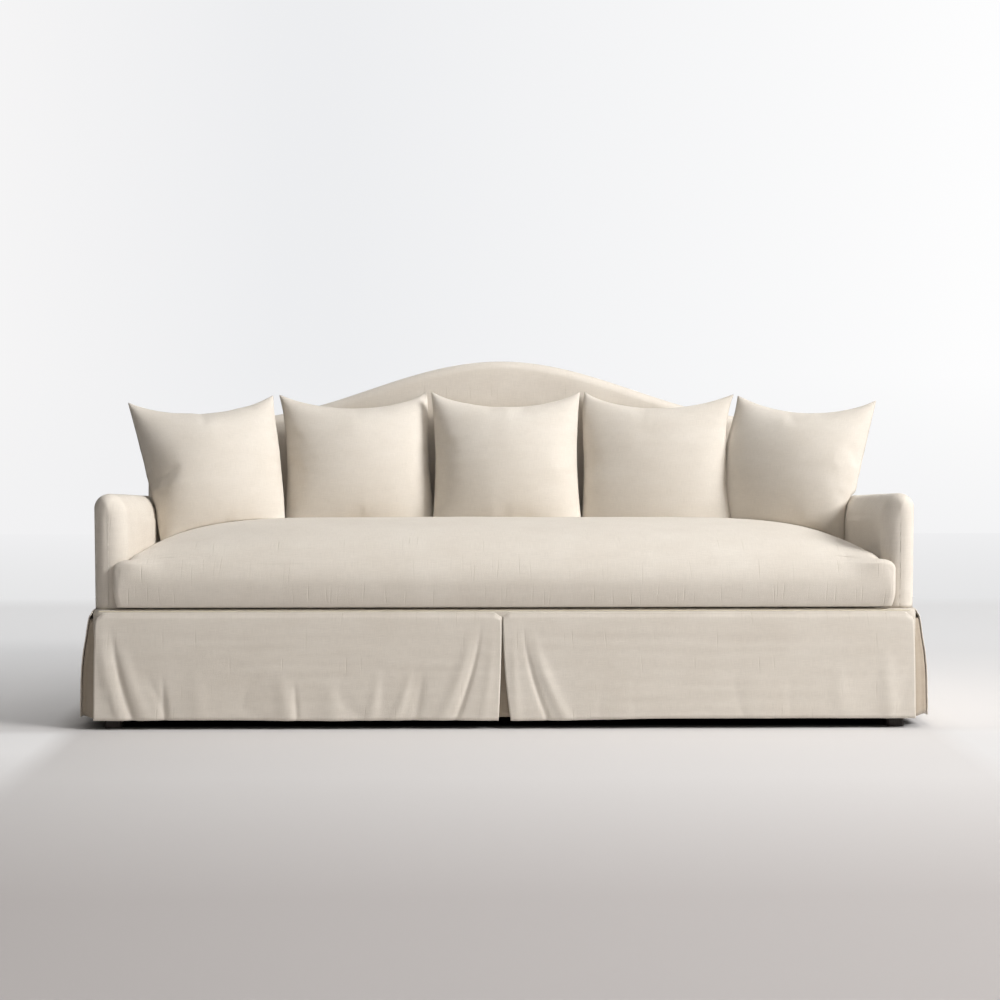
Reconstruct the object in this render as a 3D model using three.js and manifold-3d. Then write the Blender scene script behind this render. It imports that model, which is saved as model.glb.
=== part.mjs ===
// A three-seat camelback sofa with a skirt to the floor, one bench seat cushion and five loose pillows.
// Units are millimetres. +X is the sitter's left-to-right as seen from the front, the front faces -Y and
// +Z is up. The origin is on the floor, under the middle of the sofa.
import * as THREE from 'three';
import { mergeVertices } from 'three/addons/utils/BufferGeometryUtils.js';
import Module from 'manifold-3d';

const wasm = await Module();
wasm.setup();

// Overall sizes
const widthOverArms = 2134;
const depthOverHems = 965;
const deckHeight = 310;
const shoulderHeight = 795;
const peakHeight = 966;
const humpHalfWidth = 800;

// Clearances and cloth
const seatGap = 0.3;
const easyGap = 0.7;
const cutOverrun = 40;
const coverThickness = 3;
const clothThickness = 2.2;
const skirtThickness = 3.5;

// Skirt
const skirt = {
  hemClearance: 25,
  frontFlare: 17.5,
  sideFlare: 42,
  cornerInset: 12,
  cornerSpread: 9,
  pleatGap: 1,
  pleatOpening: 15,
};
const underlay = { thickness: 2, halfWidth: 70, legLength: 90, setBack: 2.4, lap: 1 };
const flareShare = 0.42;
const plainFlareShare = 0.7;
const pleatShare = 1.5;
const fallShares = [0, 0.03, 0.12, 0.35, 0.65, 1];
const seamShare = 0.03;
const underlayFallShares = [0.085, 0.25, 0.5, 0.75, 0.98];

// Arms
const arm = {
  thickness: 86,
  frontHeight: 610,
  rearHeight: 566,
  setBack: 20,
  innerRollWidth: 50,
  innerRollDrop: 70,
  outerRollDrop: 32,
  frontRadius: 22,
  padThickness: 9,
};
const armRoundShare = 0.5;

// Back
const back = {
  thicknessAtDeck: 161,
  frontRakeShare: 0.0875,
  rearRakeShare: 0.02,
  topRadius: 32,
  rearRadius: 10,
  sideRadius: 8,
  shoulderRadius: 60,
};
const backRoundShare = 2 / 3;

// Timber frame
const timber = {
  railThickness: 28,
  deckBuild: 42,
  underside: 140,
  easedEdge: 3,
  sideInset: 17,
  armPostWidth: 50,
  armPostDepth: 45,
  topRailLip: 16,
  stayHeight: 40,
  stayThickness: 22,
  stayRise: 25,
  crestDepth: 95,
  crestInset: 16,
  backPostWidth: 50,
  backPostDepth: 45,
  uprightWidth: 60,
  uprightOffset: 340,
  stretcherHeight: 60,
  stretcherThickness: 36,
  stretcherOffset: 360,
  blockLeg: 115,
};
const foot = { topWidth: 54, bottomWidth: 42, chamfer: 5, inset: 4 };

// Seat springs of zigzag wire, laid from the front rail to the back rail
const spring = {
  count: 8,
  wireRadius: 2,
  halfWidth: 24,
  bends: 14,
  arch: 14,
  endLength: 22,
  span: 1840,
  stepsPerBend: 4,
  wireSides: 4,
};
const bendRoundShare = 0.12;
const burlapThickness = 1.6;

// Bench cushion
const cushion = {
  boxing: 135,
  crown: 76,
  crestOffset: -90,
  bulge: 8,
  earWidth: 31,
  earGap: 1.5,
  frontReach: 4,
  cornerRadius: 16,
  sideGap: 2,
  bottomLift: 7,
};
const crownEndShare = 7;
const crownFrontShare = 3;
const crownRearShare = 2.2;
const neckShares = [0.1, 0.28, 0.46, 0.62, 0.76, 0.88, 1];
const cushionEdgeShare = 0.01;

// Loose pillows: their size follows the width between the arms
const pillowSizeShare = 0.2304;
const pillowThicknessShare = 0.407;
const pillowSideDrawShare = 0.075;
const pillowTopDrawShare = 0.16;
const pillowFootDrawShare = 0.15;
const pillow = { seamHalfThickness: 3, restGap: 0.8, cells: 12 };

// The middle of each pillow: across, as a share of the half width between the arms, and ahead of the
// back and above the seat's edge, as shares of its half size. Then its turn, lean and roll in degrees.
const pillowSpotShares = {
  pillow_far_left: [-0.836, 0.957, 0.857, 31, 21, -3],
  pillow_left: [-0.43, 0.266, 0.901, 11, 16, -1],
  pillow_middle: [0.013, 0.346, 0.915, 0, 15, 0],
  pillow_right: [0.453, 0.346, 0.906, -10, 16, 1],
  pillow_far_right: [0.858, 0.935, 0.85, -42, 18, 2],
};

// Levels and planes that several pieces share
const halfWidth = widthOverArms / 2;
const armInner = halfWidth - arm.thickness;
const skirtFace = depthOverHems / 2 - skirt.frontFlare;
const bodyFace = skirtFace - skirtThickness - seatGap;
const frameFace = bodyFace - clothThickness - seatGap;
const frontRailInner = frameFace - timber.railThickness;
const armFront = -skirtFace + arm.setBack;
const postFront = -frontRailInner + seatGap;
const postRear = postFront + timber.armPostDepth;
const frameHalf = halfWidth - timber.sideInset;
const pillowHalf = armInner * pillowSizeShare;
const postInner = frameHalf - timber.armPostWidth;
const sideRailInner = frameHalf - timber.railThickness;
const railTop = deckHeight - timber.deckBuild;
const springLevel = railTop + seatGap + spring.wireRadius;
const burlapLevel = springLevel + spring.wireRadius + seatGap;
const padTop = deckHeight - clothThickness - seatGap;
const cushionBottom = deckHeight + seatGap;
const cushionEdge = cushionBottom + cushion.boxing;
const backDeckFront = bodyFace - back.thicknessAtDeck;
const coverBottom = timber.underside - coverThickness;

const backFrontAt = (z) => backDeckFront + back.frontRakeShare * (z - deckHeight);
const backRearAt = (z) => bodyFace + back.rearRakeShare * (z - deckHeight);
const postRearAt = (z) => backRearAt(z) - coverThickness - easyGap;
const postFrontAt = (z) => postRearAt(z) - timber.backPostDepth;
const clampUnit = (t) => Math.min(1, Math.max(0, t));
const smoothStep = (t) => t * t * (3 - 2 * t);

// Spreads even steps from -1 to 1 so that they crowd towards both ends
const crowded = (t) => (Math.sin((Math.PI / 2) * t) + t) / 2;

// The springs lie from the front rail to the middle of the back rail and arch up between them
const springFront = spring.wireRadius - frameFace;
const springRear = postRearAt(timber.underside) - timber.railThickness / 2;
const archAt = (y) => {
  const share = (2 * (y - springFront)) / (springRear - springFront) - 1;
  return spring.arch * Math.max(0, 1 - share * share);
};

// Height of the back's outline: level shoulders, a smooth hump and rounded outer corners
function outlineHeight(x, inset) {
  const away = Math.abs(x);
  const hump = away < humpHalfWidth ? (1 + Math.cos((Math.PI * away) / humpHalfWidth)) / 2 : 0;
  const level = shoulderHeight + (peakHeight - shoulderHeight) * hump - inset;
  const radius = back.shoulderRadius;
  const past = Math.max(0, away - (halfWidth - inset - radius));
  return level - radius + Math.sqrt(Math.max(0, radius * radius - Math.min(past, radius) ** 2));
}

// Top of an arm, which falls a little from front to back
function armTopAt(y) {
  const share = (y - armFront) / (backFrontAt(arm.rearHeight) - armFront);
  return arm.frontHeight + (arm.rearHeight - arm.frontHeight) * share;
}

// How far from the middle the inner side of an arm stands at a height, or no limit above the arm
function armSideAt(y, z) {
  const rise = (z - armTopAt(y) + arm.innerRollDrop) / arm.innerRollDrop;
  if (rise >= 1) {
    return Infinity;
  }
  return armInner + arm.innerRollWidth * (1 - Math.sqrt(1 - Math.max(0, rise) ** 2));
}

// Top of the bench cushion: a broad crown that falls away at the ends, the front and the rear
function seatTopAt(x, y) {
  const end = Math.min(1, Math.abs(x) / (armInner - cushion.sideGap));
  const front = cushion.crestOffset + skirtFace + cushion.frontReach;
  const rear = backDeckFront - seatGap - cushion.crestOffset;
  const ahead = y < cushion.crestOffset;
  const along = Math.min(1, Math.abs(y - cushion.crestOffset) / (ahead ? front : rear));
  const fall = 1 - along ** (ahead ? crownFrontShare : crownRearShare);
  return cushionEdge + cushion.crown * (1 - end ** crownEndShare) * fall;
}

// Geometry helpers
function bare(geometry) {
  const copy = geometry.clone();
  copy.deleteAttribute('normal');
  copy.deleteAttribute('uv');
  return mergeVertices(copy);
}

function moved(geometry, place) {
  const spots = geometry.getAttribute('position');
  for (let i = 0; i < spots.count; i += 1) {
    spots.setXYZ(i, ...place(spots.getX(i), spots.getY(i), spots.getZ(i)));
  }
  return geometry;
}

// A box of cells whose corners are placed by a rule of u, v and w, each from -1 to 1
function shapedBox(cells, place) {
  return moved(bare(new THREE.BoxGeometry(2, 2, 2, ...cells)), place);
}

function toSolid(geometry) {
  const clean = geometry.index ? geometry : bare(geometry);
  const vertProperties = new Float32Array(clean.getAttribute('position').array);
  const triVerts = new Uint32Array(clean.index.array);
  return new wasm.Manifold(new wasm.Mesh({ numProp: 3, vertProperties, triVerts }));
}

function toGeometry(solid) {
  const mesh = solid.getMesh();
  const geometry = new THREE.BufferGeometry();
  geometry.setAttribute('position', new THREE.BufferAttribute(new Float32Array(mesh.vertProperties), 3));
  geometry.setIndex(new THREE.BufferAttribute(new Uint32Array(mesh.triVerts), 1));
  return geometry;
}

function cut(geometry, ...tools) {
  return toGeometry(tools.reduce((solid, tool) => solid.subtract(toSolid(tool)), toSolid(geometry)));
}

function join(...geometries) {
  return toGeometry(geometries.map(toSolid).reduce((whole, solid) => whole.add(solid)));
}

function boxBetween(low, high) {
  const size = high.map((value, i) => value - low[i]);
  const middle = high.map((value, i) => (value + low[i]) / 2);
  return bare(new THREE.BoxGeometry(...size)).translate(...middle);
}

// An outline in the plan, given anticlockwise, raised from one level to another
function raised(outline, low, high) {
  const shape = new THREE.Shape(outline.map(([x, y]) => new THREE.Vector2(x, y)));
  const geometry = new THREE.ExtrudeGeometry(shape, { depth: high - low, bevelEnabled: false });
  return bare(geometry.translate(0, 0, low));
}

// Corners of a rectangle with its edges eased
function easedRectangle(width, height, ease) {
  const x = width / 2;
  const y = height / 2;
  return [
    [x - ease, -y], [x, ease - y], [x, y - ease], [x - ease, y],
    [ease - x, y], [-x, y - ease], [-x, ease - y], [ease - x, -y],
  ];
}

// A sawn board between two corners, with the edges along its length eased
function board(low, high, along) {
  const size = high.map((value, i) => value - low[i]);
  const middle = high.map((value, i) => (value + low[i]) / 2);
  const ease = timber.easedEdge;
  const ways = {
    x: () => raised(easedRectangle(size[2], size[1], ease), -size[0] / 2, size[0] / 2).rotateY(Math.PI / 2),
    y: () => raised(easedRectangle(size[0], size[2], ease), -size[1] / 2, size[1] / 2).rotateX(Math.PI / 2),
    z: () => raised(easedRectangle(size[0], size[1], ease), -size[2] / 2, size[2] / 2),
  };
  return ways[along]().translate(...middle);
}

// Materials
const materials = {
  linen: new THREE.MeshStandardMaterial({ color: 0xe4dccf, roughness: 0.92, metalness: 0 }),
  pillowLinen: new THREE.MeshStandardMaterial({ color: 0xe0d7ca, roughness: 0.92, metalness: 0 }),
  lining: new THREE.MeshStandardMaterial({ color: 0xcfc4b4, roughness: 0.95, metalness: 0 }),
  deckCloth: new THREE.MeshStandardMaterial({ color: 0xd8cfc1, roughness: 0.95, metalness: 0 }),
  hardwood: new THREE.MeshStandardMaterial({ color: 0xb88f5e, roughness: 0.7, metalness: 0 }),
  darkWood: new THREE.MeshStandardMaterial({ color: 0x3a2a1f, roughness: 0.55, metalness: 0 }),
  springSteel: new THREE.MeshStandardMaterial({ color: 0x8a8d90, roughness: 0.4, metalness: 0.9 }),
  burlap: new THREE.MeshStandardMaterial({ color: 0xa58a62, roughness: 0.98, metalness: 0 }),
  foam: new THREE.MeshStandardMaterial({ color: 0xf0ead8, roughness: 0.9, metalness: 0 }),
  dustCloth: new THREE.MeshStandardMaterial({ color: 0x24211f, roughness: 0.95, metalness: 0 }),
};

const model = new THREE.Group();

function add(name, geometry, material) {
  const mesh = new THREE.Mesh(geometry, material);
  mesh.name = name;
  model.add(mesh);
  return mesh;
}

const sides = [['left', -1], ['right', 1]];

// A piece of the right-hand back quarter, mirrored to the quarter wanted with its faces kept outward
function mirrored(geometry, side, end = 1) {
  const turned = moved(geometry.clone(), (x, y, z) => [side * x, end * y, z]);
  const order = turned.index.array;
  for (let i = 0; i < order.length && side * end < 0; i += 3) {
    [order[i], order[i + 1]] = [order[i + 1], order[i]];
  }
  return turned;
}

// Seat frame
function buildSeatFrame() {
  const bottom = timber.underside;
  const half = timber.stretcherThickness / 2;
  const backRailRear = postRearAt(bottom) - seatGap;
  const backRailFront = backRailRear - timber.railThickness;
  add('front_seat_rail', board([-frameHalf, -frameFace, bottom], [frameHalf, -frontRailInner, railTop], 'x'),
    materials.hardwood);
  const reach = postInner - seatGap;
  const backRail = board([-reach, backRailFront, bottom], [reach, backRailRear, railTop], 'x');
  add('back_seat_rail', backRail, materials.hardwood);
  for (const [name, side] of sides) {
    const rail = board([sideRailInner, postRear + seatGap, bottom],
      [frameHalf, postFrontAt(bottom) - seatGap, railTop], 'y');
    add(`${name}_seat_rail`, mirrored(rail, side), materials.hardwood);
    const stretcher = board([timber.stretcherOffset - half, -frontRailInner + seatGap, bottom],
      [timber.stretcherOffset + half, backRailFront - seatGap, bottom + timber.stretcherHeight], 'y');
    add(`seat_stretcher_${name}`, mirrored(stretcher, side), materials.hardwood);
    buildCornerBlocks(name, side, backRailFront);
  }
}

// Corner blocks, each notched round its post and flush with the undersides of the rails
function buildCornerBlocks(name, side, backRailFront) {
  const low = timber.underside + seatGap;
  const high = railTop - timber.railThickness;
  const leg = timber.blockLeg;
  const inner = sideRailInner - seatGap;
  const atPost = postInner - seatGap;
  const railFace = -frontRailInner + seatGap;
  const pastPost = postRear + seatGap;
  const front = [
    [atPost - leg, railFace], [atPost, railFace], [atPost, pastPost], [inner, pastPost],
    [inner, pastPost + leg], [inner - timber.railThickness, pastPost + leg],
    [atPost - leg, railFace + timber.railThickness],
  ];
  add(`corner_block_front_${name}`, mirrored(raised(front, low, high), side), materials.hardwood);
  const backFace = backRailFront - seatGap;
  const beforePost = postFrontAt(low) - seatGap;
  const rear = [
    [atPost - leg, backFace], [atPost - leg, backFace - timber.railThickness],
    [inner - timber.railThickness, beforePost - leg], [inner, beforePost - leg], [inner, beforePost],
    [atPost, beforePost], [atPost, backFace],
  ];
  add(`corner_block_back_${name}`, mirrored(raised(rear, low, high), side), materials.hardwood);
}

// Tapered block feet that hold the rails off the floor
function footGeometry(x, y) {
  const height = timber.underside - seatGap;
  const outline = easedRectangle(foot.topWidth, foot.topWidth, foot.chamfer);
  const taper = foot.bottomWidth / foot.topWidth;
  const shaped = moved(raised(outline, 0, height), (px, py, pz) => {
    const share = taper + (1 - taper) * (pz / height);
    return [px * share, py * share, pz];
  });
  return shaped.translate(x, y, 0);
}

function footPlaces() {
  const reach = foot.topWidth / 2 + foot.inset;
  return [
    ['foot_front', frameHalf - reach, reach - frameFace],
    ['foot_middle', timber.stretcherOffset, 0],
    ['foot_back', frameHalf - reach, postRearAt(timber.underside) - reach],
  ];
}

function buildFeet() {
  for (const [name, side] of sides) {
    for (const [label, x, y] of footPlaces()) {
      add(`${label}_${name}`, footGeometry(side * x, y), materials.darkWood);
    }
  }
}

// Arm form: a tall section with a full inner roll and a tighter outer one, and a rounded front.
// It is drawn in by an inset, so that the cover, the pad and the rail under them nest.
function armForm(side, inset, bottomAt, frontY, rearAt, cells) {
  const apex = armInner + arm.innerRollWidth;
  const outerRollWidth = arm.thickness - arm.innerRollWidth;
  const radius = Math.max(arm.frontRadius - inset, seatGap);
  return shapedBox(cells, (u, v, w) => {
    const out = side * u;
    const along = (v + 1) / 2;
    const turn = Math.min(1, along / armRoundShare) * (Math.PI / 2);
    const drawn = inset + radius * (1 - Math.sin(turn));
    const swing = Math.abs(out) * (Math.PI / 2);
    const width = out < 0 ? arm.innerRollWidth : outerRollWidth;
    const drop = out < 0 ? arm.innerRollDrop : arm.outerRollDrop;
    const x = apex + Math.sign(out) * (width - drawn) * Math.sin(swing);
    const start = frontY + radius * (1 - Math.cos(turn));
    const run = clampUnit((along - armRoundShare) / (1 - armRoundShare));
    const guessY = start + (rearAt(armTopAt(0)) - start) * run;
    const top = armTopAt(guessY) - drawn - drop * (1 - Math.cos(swing));
    const low = bottomAt(guessY);
    const z = low + (top - low) * ((w + 1) / 2);
    return [side * x, start + (rearAt(z) - start) * run, z];
  });
}

const armCells = [8, 6, 1];
const backCells = [32, 6, 1];
const crestCells = [40, 1, 1];
const padInset = coverThickness + seatGap;
const railInset = padInset + arm.padThickness + seatGap;

function buildArms() {
  const coverRear = (z) => backFrontAt(z) - easyGap;
  const pastRear = (z) => backFrontAt(z) + cutOverrun;
  const openBottom = () => coverBottom - cutOverrun;
  const deckLine = deckHeight + seatGap;
  for (const [name, side] of sides) {
    const outer = armForm(side, 0, () => coverBottom, armFront, coverRear, armCells);
    const hollow = armForm(side, coverThickness, openBottom, armFront + coverThickness, pastRear, armCells);
    const underDeck = boxBetween([armInner - cutOverrun, armFront - cutOverrun, coverBottom - cutOverrun],
      [halfWidth - coverThickness, backFrontAt(deckHeight) + cutOverrun, deckLine]);
    add(`arm_cover_${name}`, cut(outer, hollow, mirrored(underDeck, side)), materials.linen);

    const padOuter = armForm(side, padInset, () => deckLine, armFront + padInset, coverRear, armCells);
    const hollowFront = armFront + railInset;
    const padHollow = armForm(side, railInset - seatGap, openBottom, hollowFront, pastRear, armCells);
    add(`arm_pad_${name}`, cut(padOuter, padHollow), materials.foam);

    const railUnder = (y) => armTopAt(y) - railInset - arm.innerRollDrop - timber.topRailLip;
    const railRear = (z) => postFrontAt(z) - seatGap;
    const topRail = armForm(side, railInset, railUnder, postFront, railRear, armCells);
    add(`arm_top_rail_${name}`, topRail, materials.hardwood);

    buildArmPost(name, side, railUnder);
    const stayLow = deckHeight + timber.stayRise;
    const stay = board([frameHalf - timber.stayThickness - timber.easedEdge, postRear + seatGap, stayLow],
      [frameHalf - timber.easedEdge, postFrontAt(stayLow) - seatGap, stayLow + timber.stayHeight], 'y');
    add(`arm_stay_rail_${name}`, mirrored(stay, side), materials.hardwood);
  }
}

// Front post of an arm: it stands behind the front seat rail and carries the top rail
function buildArmPost(name, side, railUnder) {
  const top = arm.frontHeight;
  const outer = frameHalf - timber.easedEdge;
  const post = board([postInner, postFront, timber.underside], [outer, postRear, top], 'z');
  const fitted = moved(post, (x, y, z) => [x, y, z < deckHeight ? z : railUnder(y) - seatGap]);
  add(`arm_post_${name}`, mirrored(fitted, side), materials.hardwood);
}

// Back form: the camel outline, drawn in by an inset, between a front and a rear face.
// The top edge is rounded over, more at the front than at the rear, and the side edges are eased.
function backForm(inset, lowZ, frontAt, rearAt, cells) {
  return shapedBox(cells, (u, v, w) => {
    const turn = Math.min(1, (1 - Math.abs(v)) / backRoundShare) * (Math.PI / 2);
    const drawn = 1 - Math.sin(turn);
    const radius = v > 0 ? back.rearRadius : back.topRadius;
    const spread = Math.sin((Math.PI / 2) * u);
    const x = spread * (halfWidth - inset - back.sideRadius * drawn);
    const top = outlineHeight(spread * (halfWidth - inset), inset) - radius * drawn;
    const z = lowZ + (top - lowZ) * ((w + 1) / 2);
    const depth = (rearAt(z) - frontAt(z)) / 2;
    const step = Math.min(radius, depth) * (1 - Math.cos(turn));
    const straight = clampUnit(1 - Math.abs(v) / (1 - backRoundShare));
    const reach = (depth - step) * (1 - straight);
    return [x, (frontAt(z) + rearAt(z)) / 2 + Math.sign(v) * reach, z];
  });
}

function buildBackCover() {
  const outer = backForm(0, coverBottom, backFrontAt, backRearAt, backCells);
  const innerFront = (z) => backFrontAt(z) + coverThickness;
  const innerRear = (z) => backRearAt(z) - coverThickness;
  const hollow = backForm(coverThickness, coverBottom - cutOverrun, innerFront, innerRear, backCells);
  const frameClear = postFrontAt(coverBottom) - easyGap;
  const low = coverBottom - cutOverrun;
  const underDeck = boxBetween([coverThickness - halfWidth, backDeckFront - 2 * cutOverrun, low],
    [halfWidth - coverThickness, frameClear, deckHeight + seatGap]);
  add('back_cover', cut(outer, hollow, underDeck, ...armPassages()), materials.linen);
}

// Openings inside the outline of the arms, through which their rails reach the back posts
function armPassages() {
  const low = () => deckHeight + seatGap;
  const inset = padInset + arm.padThickness / 2;
  const front = backDeckFront - cutOverrun;
  return sides.map(([, side]) => armForm(side, inset, low, front, postFrontAt, armCells));
}

function buildBackFrame() {
  const stayLow = deckHeight + timber.stayRise;
  const stayHigh = stayLow + timber.stayHeight;
  const crestTop = (x) => outlineHeight(x, coverThickness + timber.crestInset);
  const levelEnd = halfWidth - back.shoulderRadius * 2;
  const crestUnder = (x) => crestTop(Math.min(Math.abs(x), levelEnd)) - timber.crestDepth;
  const crest = shapedBox(crestCells, (u, v, w) => {
    const x = u * frameHalf;
    const z = w > 0 ? crestTop(x) : crestUnder(x);
    return [x, postRearAt(z) - timber.railThickness * ((1 - v) / 2), z];
  });
  add('crest_rail', crest, materials.hardwood);
  for (const [name, side] of sides) {
    const post = boxBetween([postInner, 0, 0], [frameHalf - timber.easedEdge, 1, 1]);
    const raked = moved(post, (x, y, z) => {
      const level = z > 0 ? crestUnder(x) - easyGap : timber.underside;
      return [x, postFrontAt(level) + timber.backPostDepth * y, level];
    });
    add(`back_post_${name}`, mirrored(raked, side), materials.hardwood);
    const upright = boxBetween([timber.uprightOffset - timber.uprightWidth / 2, 0, 0],
      [timber.uprightOffset + timber.uprightWidth / 2, 1, 1]);
    const stood = moved(upright, (x, y, z) => {
      const level = z > 0 ? crestUnder(x) - easyGap : stayHigh + seatGap;
      return [x, postRearAt(level) - timber.railThickness * (1 - y), level];
    });
    add(`back_upright_${name}`, mirrored(stood, side), materials.hardwood);
  }
  const reach = postInner - seatGap;
  const stayRear = postRearAt(stayLow);
  const stay = board([-reach, stayRear - timber.railThickness, stayLow], [reach, stayRear, stayHigh], 'x');
  add('back_stay_rail', stay, materials.hardwood);
}

function buildBackPad() {
  const inset = coverThickness + 2 * easyGap;
  const frontAt = (z) => backFrontAt(z) + coverThickness + seatGap;
  const rearAt = (z) => postFrontAt(z) - seatGap;
  const pad = backForm(inset, deckHeight + seatGap, frontAt, rearAt, backCells);
  add('back_pad', cut(pad, ...armPassages()), materials.foam);
}

// Zigzag spring: straight ends lie on the rails and the bends between them arch up a little
class ZigzagCurve extends THREE.Curve {
  constructor(x, front, rear) {
    super();
    this.x = x;
    this.front = front;
    this.rear = rear;
  }

  getPoint(t, target = new THREE.Vector3()) {
    const length = this.rear - this.front;
    const y = this.front + length * t;
    const fromEnd = Math.min(y - this.front, this.rear - y);
    const swell = smoothStep(clampUnit(fromEnd / spring.endLength));
    const phase = Math.PI * spring.bends * t;
    const place = y + Math.sin(2 * phase) * (length / spring.bends) * bendRoundShare * swell;
    const across = this.x + spring.halfWidth * swell * Math.sin(phase);
    return target.set(across, place, springLevel + archAt(place));
  }
}

function buildSprings() {
  const section = new THREE.Shape();
  section.absarc(0, 0, spring.wireRadius, 0, 2 * Math.PI);
  const round = section.getPoints(spring.wireSides).slice(0, spring.wireSides);
  const pitch = spring.span / spring.count;
  for (let i = 0; i < spring.count; i += 1) {
    const path = new ZigzagCurve(pitch * (i + 0.5) - spring.span / 2, springFront, springRear);
    const steps = spring.bends * spring.stepsPerBend;
    const wire = new THREE.ExtrudeGeometry(new THREE.Shape(round), { steps, extrudePath: path });
    add(`seat_spring_${i + 1}`, bare(wire), materials.springSteel);
  }
}

// Burlap over the springs, the padded deck and its cloth
function buildDeck() {
  const front = -frameFace + seatGap;
  const deckRear = backDeckFront - easyGap;
  const deckHalf = armInner - cushion.sideGap;
  const burlapHalf = spring.span / 2 + spring.halfWidth;
  const burlap = shapedBox([1, 10, 1], (u, v, w) => {
    const y = springFront + (springRear - springFront) * ((v + 1) / 2);
    return [u * burlapHalf, y, burlapLevel + archAt(y) + burlapThickness * ((w + 1) / 2)];
  });
  add('spring_burlap', burlap, materials.burlap);

  const padLow = burlapLevel + burlapThickness + seatGap;
  const main = shapedBox([1, 10, 1], (u, v, w) => {
    const y = front + (deckRear - front) * ((v + 1) / 2);
    return [u * deckHalf, y, w > 0 ? padTop : padLow + archAt(y)];
  });
  const stripLow = padLow + archAt(postFront);
  const strip = boxBetween([-frameHalf, front, stripLow], [frameHalf, postFront - easyGap, padTop]);
  add('deck_pad', join(main, strip), materials.foam);
  const whole = deckClothGeometry(halfWidth - coverThickness - seatGap, postFront - seatGap);
  add('deck_cloth', join(deckClothGeometry(deckHalf, deckRear), whole), materials.deckCloth);
}

// Cloth over the deck and down the front rail, as an angle seen from the end and drawn along X
function deckClothGeometry(half, rear) {
  const nose = clothThickness * 2;
  const inner = -frameFace - seatGap;
  const profile = [
    [-bodyFace, timber.underside], [inner, timber.underside], [inner, deckHeight - clothThickness],
    [rear, deckHeight - clothThickness], [rear, deckHeight], [nose - bodyFace, deckHeight],
    [nose / 3 - bodyFace, deckHeight - nose / 3], [-bodyFace, deckHeight - nose],
  ];
  return moved(raised(profile, -half, half), (y, z, x) => [x, y, z]);
}

function buildDustCover() {
  const high = timber.underside - seatGap;
  const low = high - clothThickness / 2;
  const sheet = boxBetween([-frameHalf, -frameFace, low], [frameHalf, postRearAt(high), high]);
  const around = foot.topWidth / 2 + easyGap;
  const holes = sides.flatMap(([, side]) => footPlaces().map(([, x, y]) => boxBetween(
    [side * x - around, y - around, low - cutOverrun],
    [side * x + around, y + around, high + cutOverrun],
  )));
  add('dust_cover', cut(sheet, ...holes), materials.dustCloth);
}

// Skirt panels hang from the deck line and stand off towards the hem in a few soft folds. Each fold
// has its place and its width as shares of the panel's half length, then how far out it stands.
const frontFoldShares = [
  [-0.909, 0.039, 0.9], [-0.75, 0.066, 0.45], [-0.403, 0.056, 0.7], [-0.112, 0.056, 0.5],
  [-0.015, 0.043, 1], [0.019, 0.043, 1], [0.234, 0.075, 0.5], [0.581, 0.084, 0.55], [0.923, 0.056, 0.9],
];
const sideFoldShares = [[-0.987, 0.13, 1], [-0.325, 0.173, 0.5], [0.369, 0.173, 0.6], [0.987, 0.13, 1]];
const backFoldShares = [
  [-0.997, 0.066, 1], [-0.525, 0.084, 0.5], [0, 0.084, 0.6], [0.525, 0.084, 0.5], [0.997, 0.066, 1],
];

function waveAt(foldShares, along) {
  const waves = foldShares.map(([at, width, stand]) => stand * Math.exp(-(((along - at) / width) ** 2)));
  return Math.max(...waves);
}

// A panel lies flat along its seam and stands off more and more below it
const flareAt = (fall) => Math.max(0, (fall - seamShare) / (1 - seamShare)) ** flareShare;

function standOff(flare, foldShares, along, fall) {
  const wave = waveAt(foldShares, along) * fall;
  return flare * flareAt(fall) * (plainFlareShare + (1 - plainFlareShare) * wave);
}

const skirtTop = deckHeight - seatGap;
const hemAt = (fall) => skirtTop + (skirt.hemClearance - skirtTop) * fall;
const rowFall = (w, shares) => shares[Math.round(((1 - w) / 2) * (shares.length - 1))];

// A hanging sheet: startAt and endAt give its two edges at each fall, and place sets it on its side
function skirtPanel({ flare, foldShares, half, columns, startAt, endAt, place }) {
  return shapedBox([columns, 1, fallShares.length - 1], (u, v, w) => {
    const fall = rowFall(w, fallShares);
    const along = startAt(fall) + (endAt(fall) - startAt(fall)) * ((u + 1) / 2);
    const inner = seatGap + standOff(flare, foldShares, along / half, fall);
    return place(along, v < 0 ? inner + skirtThickness : inner, hemAt(fall));
  });
}

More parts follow.
